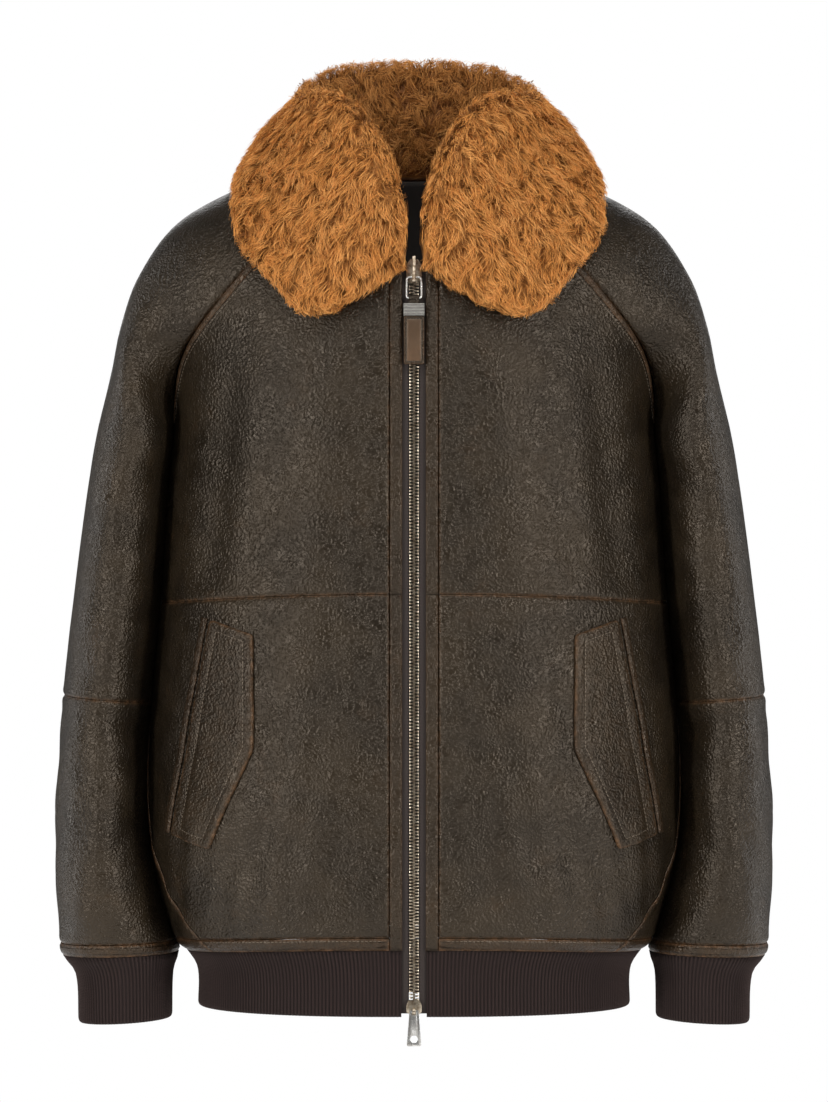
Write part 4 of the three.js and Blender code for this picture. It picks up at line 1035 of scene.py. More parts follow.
def frontPlace(x, z):
    # Where a place that is seen from the front lies on the panels
    at = (pattern["underarmZ"] - z) / pattern["levelStep"] + 1
    for _ in range(8):
        low, high = np.zeros_like(x), np.ones_like(x)
        for _ in range(24):
            around = (low + high) / 2
            short = bodySurface(at, around)[..., 0] < x
            low, high = np.where(short, around, low), np.where(short, high, around)
        at = at + (bodySurface(at, around)[..., 2] - z) / pattern["levelStep"]
    return at, around


def insetOutline(corners, inset, radius, edgePoints=12, cornerPoints=5):
    corners = np.array(corners, float)
    count = len(corners)
    directions = unit(np.roll(corners, -1, 0) - corners)
    inward = np.column_stack([directions[:, 1], -directions[:, 0]])
    moved = []
    for i in range(count):
        # This corner is where the two moved edges beside it meet
        before, after = directions[i - 1], directions[i]
        a, b = corners[i] + inward[i - 1] * inset, corners[i] + inward[i] * inset
        t = np.linalg.solve(np.column_stack([before, -after]), b - a)[0]
        moved.append(a + before * t)
    moved = np.array(moved)
    reach = max(radius - inset * 0.25, 1.0)
    points = []
    for i in range(count):
        corner, after = moved[i], directions[i]
        start, end = corner - directions[i - 1] * reach, corner + after * reach
        for t in np.linspace(0, 1, cornerPoints):
            points.append((1 - t) ** 2 * start + 2 * t * (1 - t) * corner + t**2 * end)
        nextStart = moved[(i + 1) % count] - after * reach
        for t in np.linspace(0, 1, edgePoints + 2)[1:-1]:
            points.append(end + (nextStart - end) * t)
    return np.array(points)


threads = []  # rows of stitches on the flaps
seamStitch = {"pitch": 3.4, "length": 2.3, "thick": 0.26}
flapStitch = {"pitch": 3.4, "length": 2.3, "thick": 0.3}
tabStitch = {"pitch": 2.4, "length": 1.5, "thick": 0.17}


def stitchRow(point, normal, lift, turn, closed=False, stitch=seamStitch):
    return (point + normal * lift) * turn, normal * turn, closed, stitch


def sewFlaps():
    rings = flapCut["rings"]
    outlines = [insetOutline(flapCut["corners"], inset, flapCut["corner"]) for inset, _ in rings]
    count = len(outlines[0])
    flat = np.vstack(outlines)
    at, around = frontPlace(flat[:, 0], flat[:, 1])
    point, normal = bodyFrame(at, around)
    lift = np.repeat([flapCut["seat"] + height for _, height in rings], count)
    inset = np.repeat([ring[0] for ring in rings], count)
    vertices = point + normal * lift[:, None]
    faces = ringFaces(len(rings), count, flip=True)
    faces += [list(range(count)), [(len(rings) - 1) * count + i for i in range(count)][::-1]]
    wearAndRibShade = np.clip(np.exp(-((inset / 1.3) ** 2)) + 0.08, 0, 1)
    wearAndRibShade[:count] = 0
    ring = next(i for i, r in enumerate(rings) if r[0] == flapCut["stitchInset"])
    seam = slice(ring * count, (ring + 1) * count)
    rows = weltRows(np.linspace(0, 8, 64))
    across = (acrossStrip + 1) / 2
    x = rows["leftX"][:, None] + (rows["rightX"] - rows["leftX"])[:, None] * across
    z = rows["leftZ"][:, None] + (rows["rightZ"] - rows["leftZ"])[:, None] * across
    weltAt, weltAround = frontPlace(x, z)
    weltPoint, weltNormal = bodyFrame(weltAt, weltAround)
    weltLift = flapCut["weltRise"] - flapCut["weltCrown"] * np.abs(acrossStrip) ** 3
    outer = weltPoint + weltNormal * weltLift[None, :, None]
    inner = weltPoint + weltNormal * flapCut["seat"]
    weltWear = 0.08 + 0.4 * np.abs(acrossStrip) ** 3
    for side, mirror in sides:
        turn = np.array((-1, 1, 1) if mirror else (1, 1, 1))
        flap = makeMesh(f"flap_{side}", vertices * turn, faces, [leather], "leather", values={"wearAndRibShade": wearAndRibShade})
        tidyFaces(flap, 60)
        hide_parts(f"pocket_flap_{side}")
        threads.append(stitchRow(vertices[seam], normal[seam], 0.2, turn, True, flapStitch))
        wallPiece(f"welt_{side}", f"pocket_welt_{side}", outer, inner, mirror,
                                          [edgeLeather], "edge_leather", weltWear)


sewFlaps()
print("pockets sewn")

# Ribbed knit
ribCut = {
    "pitch": 3.0,
    "depth": 1.25,
    "thick": 4.0,
    "bandStartX": 10.2,
    "spacing": 4.5,
    "stitch": 1.35,
    "pointsPerRib": 4,
}
turnedEdge = np.array([0.035, 0.018, 0.007, 0])  # levels before a band's end
turnedIn = [0, 0.3, 0.8, 1.7]  # how far the band turns in there


def knitMaterial():
    material, tree, shader = startMaterial("ribKnit")
    cloth = tree.nodes.new("ShaderNodeUVMap")
    cloth.uv_map = "cloth"
    split = tree.nodes.new("ShaderNodeSeparateXYZ")
    setSockets(split, {0: cloth.outputs["UV"]})
    part = mathNode(tree, "FRACT", split.outputs["X"])
    lean = mathNode(tree, "ABSOLUTE", mathNode(tree, "SUBTRACT", part, 0.5))
    phase = mathNode(tree, "ADD", mathNode(tree, "MULTIPLY", lean, 1.6), split.outputs["Y"])
    loop = mathNode(tree, "SINE", mathNode(tree, "MULTIPLY", phase, 2 * math.pi))
    place = objectPlace(tree)
    fuzz = noiseNode(tree, place, 0.0012, 3.0, 0.7)
    height = mathNode(tree, "ADD", mathNode(tree, "MULTIPLY", loop, 0.35), fuzz)
    # Painted shade: the rib valleys are painted dark and the ridges light, following the rib profile
    paintedRibShade = mixColours(tree, attributeNode(tree, "wearAndRibShade"), (0.0065, 0.0036, 0.0032), (0.031, 0.0185, 0.016))
    faded = rangeNode(tree, noiseNode(tree, place, 0.02, 3.0), 0.3, 0.7, 0.0, 0.4)
    setSockets(shader, {
        "Base Color": mixColours(tree, faded, paintedRibShade, (0.017, 0.0105, 0.0095)),
        "Normal": bumpNode(tree, height, 0.0004, 0.8),
        "Roughness": 0.92,
        "Specular IOR Level": 0.2,
        "Sheen Weight": 0.1,
        "Sheen Roughness": 0.5,
        "Sheen Tint": (0.4, 0.32, 0.3, 1),
    })
    return material


knit = knitMaterial()


def evenRun(surface, level, first):
    # Length round a level from the front centre, for shares that cut it evenly
    shares = np.linspace(0, 2, 241)
    points = surface(np.full(shares.size, level), shares)
    return first + runAlong(points), shares


def hemPoint(level, share):
    flat = panelStartX - ribCut["bandStartX"]
    run, shares = evenRun(bodySurface, level, flat)
    onRight = share > 0.5
    length = np.where(onRight, 1 - share, share) * 2 * run[-1]
    at = np.full(share.shape, level)
    middle = centreFrame(at, ribCut["bandStartX"] + length)
    rest = bodyFrame(at, np.minimum(np.interp(length, run, shares), 2))
    choose = (length < flat)[..., None]
    turn = np.where(onRight, -1, 1)[..., None] * (1, 0, 0) + (0, 1, 1)
    return np.where(choose, middle[0], rest[0]) * turn, np.where(choose, middle[1], rest[1]) * turn


def cuffPoint(level, share):
    run, shares = evenRun(sleeveSurface, level, 0)
    return sleeveFrame(np.full(share.shape, level), np.interp(share * run[-1], run, shares))


def knitBand(name, node, pointAt, top, end, ribs, closed, mirror):
    steps = ribs * ribCut["pointsPerRib"]
    share = np.arange(steps if closed else steps + 1) / steps
    rows = max(int((end - turnedEdge[0] - top) * pattern["levelStep"] / ribCut["spacing"]), 3)
    levels = np.concatenate([np.linspace(top, end - turnedEdge[0], rows)[:-1], end - turnedEdge])
    folded = np.concatenate([np.zeros(rows - 1), turnedIn])
    frames = [pointAt(level, share) for level in levels]
    point, normal = np.array([f[0] for f in frames]), np.array([f[1] for f in frames])
    ridge = 0.5 + 0.5 * np.cos(2 * math.pi * share * ribs)
    outer = point + normal * (-(1 - ridge)[None, :] * ribCut["depth"] - folded[:, None])[..., None]
    inner = point + normal * (folded * 0.55 - ribCut["thick"])[:, None, None]
    down = runAlong(point[:, 0])
    cloth = np.stack(np.meshgrid(share * ribs, down / ribCut["stitch"]), -1)
    # The rib profile also goes into the colour as painted shade, darker in the valleys; the inside of the
    # band is painted half shaded
    piece = wallPiece(name, node, outer, inner, mirror, [knit], "knit", ridge, closed, 0.5,
                      np.vstack([cloth.reshape(-1, 2)] * 2))
    return piece, (float(runAlong(point[-1])[-1]) * mm, float(down[-1]) * mm)


bands = {}


def knitBands():
    hem = evenRun(bodySurface, pattern["hemEndLevel"], panelStartX - ribCut["bandStartX"])[0][-1] * 2
    top, end = pattern["edgeEndLevel"] + 2 * levelGap, pattern["hemEndLevel"]
    ribs = round(hem / ribCut["pitch"] / 2) * 2
    bands["hem"] = knitBand("knit_hem", "rib_hem", hemPoint, top, end, ribs, False, False)
    cuff = evenRun(sleeveSurface, pattern["cuffEndLevel"], 0)[0][-1]
    top, end = pattern["cuffEdgeEndLevel"] + 2 * levelGap, pattern["cuffEndLevel"]
    for side, mirror in sides:
        bands[f"cuff_{side}"] = knitBand(f"knit_cuff_{side}", f"rib_cuff_{side}", cuffPoint, top, end,
                                         round(cuff / ribCut["pitch"]), True, mirror)


knitBands()
print("bands knitted")

# Sewing threads along the strips, edges and flaps
threadLook, _, threadShader = startMaterial("waxedThread")
setSockets(threadShader, {"Base Color": (0.15, 0.115, 0.08, 1), "Roughness": 0.62})


def alongRow(points, normals, pitch, closed=False):
    if closed:
        points, normals = np.vstack([points, points[:1]]), np.vstack([normals, normals[:1]])
    run = runAlong(points)
    places = np.arange(pitch / 2, run[-1] - pitch / 3, pitch)
    read = lambda places, table: np.stack([np.interp(places, run, table[:, k]) for k in range(3)], 1)
    centre = read(places, points)
    heading = unit(read(places + 0.3, points) - read(places - 0.3, points))
    return centre, heading, unit(read(places, normals))


def sewStitches(name, rows):
    # A stitch has four rings of four points, and its ends go down into the leather
    rings = ((-0.5, -0.25, 0.55), (-0.3, 0.12, 1.0), (0.3, 0.12, 1.0), (0.5, -0.25, 0.55))
    shape = np.array([
        (along, math.cos(turn) * scale, math.sin(turn) * scale, high)
        for along, high, scale in rings for turn in (0.785, 2.356, 3.927, 5.498)
    ])
    walls = ringFaces(4, 4) + [[3, 2, 1, 0], [12, 13, 14, 15]]
    vertices, faces = [], []
    for points, normals, closed, stitch in rows:
        length, thick = stitch["length"], stitch["thick"]
        for centre, heading, out in zip(*alongRow(points, normals, stitch["pitch"], closed)):
            aside = np.cross(out, heading)
            offset = len(vertices) * len(shape)
            vertices.append(centre + np.outer(shape[:, 0] * length, heading)
                            + np.outer(shape[:, 1] * thick, aside)
                            + np.outer(shape[:, 2] * thick + shape[:, 3] * 0.6, out))
            faces += [[offset + i for i in face] for face in walls]
    piece = makeMesh(name, np.vstack(vertices), faces, [threadLook], "leather")
    tidyFaces(piece, 80)
    return piece


seamRows = {
    "raglanLevels": (0.16, 0.99),
    "raglanOffset": 4.4,
    "raglanClear": 0.015,  # share that rows keep off the sleeve
    "sideLevels": (3.45, 5.16),
    "sideOffset": 1.75,  # in half widths of the strip
    "edgeClear": 0.02,
    "edgeRise": 0.5,
    "rise": 0.1,
}


def sewSeams():
    levels = np.linspace(*seamRows["raglanLevels"], 90)
    lower = np.linspace(*seamRows["sideLevels"], 60)
    edgeMiddle = np.full(150, (hemTop + pattern["edgeEndLevel"]) / 2 - 0.03)
    edgeRise = pattern["edgeRise"] + seamRows["edgeRise"]
    for side, mirror in sides:
        turn = np.array((-1, 1, 1) if mirror else (1, 1, 1))
        rows = []
        for face in ("front", "back"):
            for offset in (-seamRows["raglanOffset"], seamRows["raglanOffset"]):
                shares = np.array([raglanShares(face, offset)(level) for level in levels])
                inside = (1 - shares if face == "front" else shares - 1) > seamRows["raglanClear"]
                rows.append(stitchRow(*bodyFrame(levels[inside], shares[inside]), seamRows["rise"], turn))
        for offset in (-seamRows["sideOffset"], seamRows["sideOffset"]):
            shares = sideSeamAt(lower) + offset * stripCut["sideHalfShare"]
            rows.append(stitchRow(*bodyFrame(lower, shares), seamRows["rise"], turn))
        clear = seamRows["edgeClear"]
        shares = np.linspace(clear, sideSeamAt(5.2) - clear, edgeMiddle.size)
        rows.append(stitchRow(*bodyFrame(edgeMiddle, shares), edgeRise, turn))
        rows += [row for row in threads if (row[0][0, 0] < 0) == mirror]
        sewStitches(f"stitches_{side}", rows)


sewSeams()
print("seams sewn")

# Hardware of the zip
hardware = {
    "tilt": 7.1,
    "tabHinge": (0, -111.304, -128.866),
    "ringHinge": (0, -107.397, -111.808),
    "ringTilt": 12.9,
    "ringHalfWidth": 6,
    "ringLength": 17.5,
    "ringCorner": 2.2,
    "wireRadius": 0.85,
    "tabWidth": 16.5,
    "tabTop": -14.9,
    "tabEnd": -54,
    "tabHalfThick": 1.8,
}


def bevelled(name, node, body, look, bevel, sharp=28):
    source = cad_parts[node]
    edit = bmesh.new()
    edit.from_mesh(source.data)
    edit.transform(source.matrix_world)
    bmesh.ops.remove_doubles(edit, verts=edit.verts, dist=2e-6)
    bmesh.ops.dissolve_limit(edit, angle_limit=0.02, verts=edit.verts, edges=edit.edges)
    limit = math.radians(sharp)
    corners = [e for e in edit.edges if len(e.link_faces) == 2 and e.calc_face_angle(0) > limit]
    bmesh.ops.bevel(edit, geom=corners, offset=bevel * mm, segments=2, profile=0.5, affect="EDGES",
                    clamp_overlap=True)
    data = bpy.data.meshes.new(name)
    edit.to_mesh(data)
    edit.free()
    data.materials.append(look)
    piece = addObject(name, data)
    tidyFaces(piece, 50)
    data.polygons.foreach_set("use_smooth", np.ones(len(data.polygons), bool))
    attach(piece, body)
    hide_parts(node)
    return piece


def hung(hinge, tilt, local):
    # A place in the frame of a piece that hangs from a hinge and leans forward
    c, s = math.cos(math.radians(tilt)), math.sin(math.radians(tilt))
    x, y, z = np.asarray(local, float).T
    return np.stack([x, y * c + z * s, -y * s + z * c], 1) + hinge


def bendRing():
    half, length, corner = hardware["ringHalfWidth"], hardware["ringLength"], hardware["ringCorner"]
    path = []
    for x, z, start in ((half, 0, 0), (-half, 0, 90), (-half, -length, 180), (half, -length, 270)):
        cx, cz = x - math.copysign(corner, x), z - (corner if z == 0 else -corner)
        for step in range(9):
            turn = math.radians(start + step * 11.25)
            path.append((cx + corner * math.cos(turn), 0, cz + corner * math.sin(turn)))
    path = np.array(path)
    ahead = unit(np.roll(path, -1, 0) - np.roll(path, 1, 0))
    aside = np.cross(ahead, (0, 1, 0))
    around = 14
    turns = np.arange(around) * 2 * math.pi / around
    ring = path[:, None] + hardware["wireRadius"] * (
        np.cos(turns)[None, :, None] * aside[:, None] + np.sin(turns)[None, :, None] * np.array((0, 1, 0)))
    vertices = hung(hardware["ringHinge"], hardware["ringTilt"], ring.reshape(-1, 3))
    faces = ringFaces(len(path), around, True)
    piece = makeMesh("wire_ring", vertices, faces, [wornSteel], "steel", "top_ring")
    tidyFaces(piece, 80)
    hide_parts("pull_ring_top")


tabLook = {
    "dark": (0.06, 0.036, 0.021),
    "light": (0.105, 0.062, 0.036),
    "patina": (0.15, 0.08, 0.04),
    "worn": (0.24, 0.13, 0.065),
    "grainSize": 0.0011,
    "grainDepth": 0.00012,
}
tabLeather = leatherMaterial("tabLeather", tabLook, roughness=0.36)
tabBorder = leatherMaterial("tabBorder", leatherLook, (0.85, 0.85, 0.85), 0.1, 0.38)


def cutTab():
    half = hardware["tabWidth"] / 2
    thick = hardware["tabHalfThick"]
    rows = [  # inset from the tab's outline and share of its thickness
        (0, 0.72), (0.12, 0.9), (0.45, 1.0), (1.9, 1.0), (2.5, 0.8), (3.0, 0.96), (4.0, 1.0), (6.0, 1.02),
    ]
    corners = [(-half, hardware["tabTop"]), (half, hardware["tabTop"]), (half, hardware["tabEnd"]),
               (-half, hardware["tabEnd"])]
    outlines = [insetOutline(corners, inset, 1.6, 10, 5) for inset, _ in rows]
    count = len(outlines[0])
    front = np.vstack([np.column_stack([o[:, 0], np.full(count, -thick * high), o[:, 1]])
                       for o, (_, high) in zip(outlines, rows)])
    back = front * (1, -1, 1)
    total = len(rows) * count
    faces, looks = [], []
    for r in range(len(rows) - 1):
        for i in range(count):
            j = (i + 1) % count
            quad = [r * count + i, (r + 1) * count + i, (r + 1) * count + j, r * count + j]
            faces += [quad, [total + v for v in quad[::-1]]]
            looks += [1 if r >= 4 else 0] * 2
    faces += [[i, (i + 1) % count, total + (i + 1) % count, total + i] for i in range(count)]
    looks += [0] * count
    inner = [(len(rows) - 1) * count + i for i in range(count)]
    faces += [inner[::-1], [total + i for i in inner]]
    looks += [1, 1]
    wearAndRibShade = np.repeat([math.exp(-((inset / 0.5) ** 2)) for inset, _ in rows], count)
    local = np.vstack([front, back])
    piece = makeMesh("pull_tab_panel", hung(hardware["tabHinge"], hardware["tilt"], local), faces,
                     [tabBorder, tabLeather], "tab", "top_tab", faceMaterials=looks,
                     values={"wearAndRibShade": np.concatenate([wearAndRibShade, wearAndRibShade])})
    tidyFaces(piece, 60)
    # The upper part of the tab goes through the keeper and is folded over the ring
    neck = bevelled("pull_tab_fold", "pull_tab_top", "top_tab", tabBorder, 0.35)
    edit = bmesh.new()
    edit.from_mesh(neck.data)
    hinge = hardware["tabHinge"]
    c, s = math.cos(math.radians(hardware["tilt"])), math.sin(math.radians(hardware["tilt"]))
    cut = hung(hinge, hardware["tilt"], [(0, 0, hardware["tabTop"] - 0.4)])[0] * mm
    bmesh.ops.bisect_plane(edit, geom=edit.verts[:] + edit.edges[:] + edit.faces[:], plane_co=cut,
                           plane_no=(0, -s, -c), clear_outer=True)
    bmesh.ops.holes_fill(edit, edges=[e for e in edit.edges if len(e.link_faces) == 1])
    bmesh.ops.recalc_face_normals(edit, faces=edit.faces)
    edit.to_mesh(neck.data)
    edit.free()
    seam = insetOutline(corners, 2.3, 1.6, 10, 5)
    line = np.column_stack([seam[:, 0], np.full(len(seam), -thick * 0.9), seam[:, 1]])
    point = hung(hinge, hardware["tilt"], line)
    out = np.tile((0, -c, s), (len(point), 1)).astype(float)
    stitches = sewStitches("stitches_tab", [(point, out, True, tabStitch)])
    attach(stitches, "top_tab")


keeperLook = wovenMaterial("wovenKeeper", "Z", {"Scale": 260, "Distortion": 2.2, "Detail Scale": 6},
                           (0.05, 0.045, 0.04), (0.34, 0.33, 0.30), 0.0003, 0.9, 0.5, 0.35)
bevelled("slider_top", "zip_slider_top", "jacket", agedBrass, 0.35)
bevelled("slider_low", "zip_slider_bottom", "jacket", agedBrass, 0.3)
bevelled("pull_low", "pull_bottom", "low_pull", wornSteel, 0.3)
bevelled("pull_keeper", "pull_keeper_top", "top_tab", keeperLook, 0.45)
bendRing()
cutTab()
print("zip furnished")

# Collar: a padded inside that carries locks of curled wool
collarCut = {
    "furReach": 9,
    "clear": 2.6,
    "arch": 2.2,
    "steps": 64,
    "around": 64,
    "depth": 6.5,
    "bareDepth": 0.4,
    "narrowRight": 9.0,  # the collar is a little narrower on one side than on the other
    "narrowLeft": 2.0,
    "narrowFromX": 45,
    "narrowOver": 80,
}
collarNames = "at way edgeWay edgeAt rollX rollY rollZ edgeThick"
collarRow = smooth(collarNames, [
    [0, -0.14, -0.12, 0.09, 6, -117, -58, 16],
    [1, 0.12, 0.08, 0.21, 12, -119, -38, 19],
    [2, 0.4, 0.24, 0.36, 19, -115, -18, 20],
    [3, 0.65, 0.35, 0.46, 29, -106, 4, 20],
    [4, 0.85, 0.45, 0.51, 42, -90, 24, 20],
    [5, 1.05, 0.56, 0.52, 58, -70, 38, 20],
    [6, 1.35, 0.8, 0.48, 78, -44, 45, 20],
    [7, 1.65, 1.06, 0.44, 93, -14, 46, 17],
    [8, 2, 1.38, 0.37, 101, 14, 47, 15],
    [9, 2.4, 1.85, 0.31, 99, 42, 56, 16],
    [10, 2.8, 2.45, 0.31, 86, 68, 67, 19],
    [11, 3.2, 2.95, 0.3, 64, 86, 77, 20],
    [12, 3.6, 3.45, 0.29, 33, 96, 82, 20],
    [13, 4, 4, 0.28, 0, 99, 83, 20],
])


def neckFrame(at, way):
    at, way = np.array([float(at)]), np.array([float(way)])
    if way[0] < 0:
        point, normal = centreFrame(at, panelStartX + way * 100)
    elif way[0] <= 1:
        point, normal = bodyFrame(at, way)
    elif way[0] <= 3:
        point, normal = sleeveFrame(at, way - 1)
    else:
        point, normal = bodyFrame(at, np.maximum(way - 2, backStart))
    return point[0], normal[0]


def collarSection(station):
    row = {key: float(value) for key, value in collarRow(station).items()}
    run = row["edgeWay"] - row["way"]
    at = lambda share: neckFrame(row["edgeAt"] * share, row["way"] + run * share)
    over = lambda place, lift: place[0] + place[1] * lift
    neck, edge = at(0), at(1)
    alongNeck, alongEdge = unit(neck[0] - at(0.04)[0]), unit(edge[0] - at(0.96)[0])
    out = unit(neck[1] * (1, 1, 0))
    roll = np.array([row["rollX"], row["rollY"], row["rollZ"]])
    reach, clear, arch = collarCut["furReach"], collarCut["clear"], collarCut["arch"]

    def foldSide(r):
        point = roll + out * r
        point[2] = roll[2] - reach * 0.7
        return point

    inside, edgeTop = over(neck, -4) + alongNeck * 0.6, over(edge, row["edgeThick"])
    middle = lambda a, b, r, direction: (a + b) / 2 + direction * r
    return np.array([
        inside,
        middle(inside, foldSide(-reach), -2, out),
        foldSide(-reach),
        roll,
        foldSide(reach),
        middle(foldSide(reach), edgeTop, 6, edge[1]),
        edgeTop,
        over(edge, row["edgeThick"] * 0.5) + alongEdge * 4,
        over(edge, clear),
        over(at(0.75), clear + arch),
        over(at(0.5), clear + arch),
        over(at(0.25), clear + arch),
        over(neck, clear) + alongNeck * 0.6,
    ])


def smoothLoop(points, count):
    # Even places on a closed curve through the points
    n = len(points)
    fine = []
    for i in range(n):
        a, b, c, d = points[i - 1], points[i], points[(i + 1) % n], points[(i + 2) % n]
        before, here, after = (np.linalg.norm(v) for v in (b - a, c - b, d - c))
        start = (c - a) / np.linalg.norm(c - a) * min(before, here)
        end = (d - b) / np.linalg.norm(d - b) * min(here, after)
        for t in np.linspace(0, 1, 12, endpoint=False):
            fine.append((2 * t**3 - 3 * t**2 + 1) * b + (t**3 - 2 * t**2 + t) * start
                        + (3 * t**2 - 2 * t**3) * c + (t**3 - t**2) * end)
    closed = np.array(fine + fine[:1])
    at = np.arange(len(closed)) / 12
    places = np.linspace(0, n, count, endpoint=False)
    return np.stack([np.interp(places, at, closed[:, k]) for k in range(3)], 1)


def collarGrid():
    stations = np.linspace(0, 13, collarCut["steps"])
    half = np.array([smoothLoop(collarSection(station), collarCut["around"]) for station in stations])
    other = (half * (-1, 1, 1))[-2::-1]
    grid = np.concatenate([half, other])
    outward = np.clip((np.abs(grid[..., 0]) - collarCut["narrowFromX"]) / collarCut["narrowOver"], 0, 1)
    outward = outward**2 * (3 - 2 * outward)
    grid[..., 0] += np.where(grid[..., 0] < 0, collarCut["narrowRight"], -collarCut["narrowLeft"]) * outward
    key = np.linspace(0, 13, collarCut["around"], endpoint=False)
    along = np.gradient(grid, axis=0)
    around = np.roll(grid, -1, 1) - np.roll(grid, 1, 1)
    normal = unit(np.cross(around, along))
    centre = grid.mean(1, keepdims=True)
    if (normal * (grid - centre)).sum() < 0:
        normal = -normal
    return grid, normal, key


furCut = {
    "root": (0.2, 0.068, 0.012),
    "tip": (0.72, 0.305, 0.07),
    "pale": (0.84, 0.42, 0.13),
    "roughness": 0.6,
}


def furMaterial():
    material, tree, shader = startMaterial("curledWool")
    tip, tone = attributeNode(tree, "tip"), attributeNode(tree, "tone")
    # Painted shade: strands are painted darker toward the root, deep in the pile, and lighter toward the
    # tips
    base = mixColours(tree, rangeNode(tree, tip, 0.0, 0.85), furCut["root"], furCut["tip"])
    setSockets(shader, {
        "Base Color": mixColours(tree, mathNode(tree, "MULTIPLY", tone, tip), base, furCut["pale"]),
        "Roughness": furCut["roughness"],
        "Specular IOR Level": 0.25,
        "Sheen Weight": 0.08,
        "Sheen Roughness": 0.4,
        "Sheen Tint": (0.8, 0.55, 0.3, 1),
    })
    return material


furLook = furMaterial()
collarGridPoints, collarNormals, collarKeys = collarGrid()


# The wool is on the inside of the stand and the outside of the fall, none is underneath.
# Each range says where it ends on the fall and where it starts again at the neck.
furRanges = {
    "covered": (7.6, 12.75),
    "grown": (7.5, 12.8),
    "curlier": (3, 12.5),
    "shaded": (2.4, 12.5),
    "shadedPadding": (2.6, 12.5),
}


def hasFur(key, use):
    end, start = furRanges[use]
    return (key < end) | (key > start)


def padCollar():
    depth = np.where(hasFur(collarKeys, "covered"), collarCut["depth"], collarCut["bareDepth"])
    soft = (np.roll(depth, 1) + 2 * depth + np.roll(depth, -1)) / 4
    uneven = rippleLift(collarGridPoints * 2.2) * 1.6
    under = collarGridPoints - collarNormals * (soft[None, :] + np.clip(uneven, -1.2, 1.2))[..., None]
    rows, columns = under.shape[:2]
    faces = ringFaces(rows, columns)
    faces += [list(range(columns))[::-1], [(rows - 1) * columns + j for j in range(columns)]]
    tips = np.tile(np.where(hasFur(collarKeys, "shadedPadding"), 0.0, 0.35), rows)
    piece = makeMesh("collar_padding", under.reshape(-1, 3), faces, [furLook], "fur",
                     values={"tip": tips, "tone": tips * 0})
    tidyFaces(piece, 120)
    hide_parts("collar")
    return piece, under


wool = {
    "strands": 80000,
    "locks": 5200,
    "length": (14, 23),
    "height": (6.5, 10.5),
    "width": 0.23,
    "curl": 1.3,
    "gather": 0.5,
    "reach": (0, 6.0),  # how far past the collar's form the tips may end
    "zipClear": (4.6, 7.5),
    "combedIn": 0.35,  # toward the zip at the front ends
    "combedDown": 0.25,
    "pieces": 4,
}


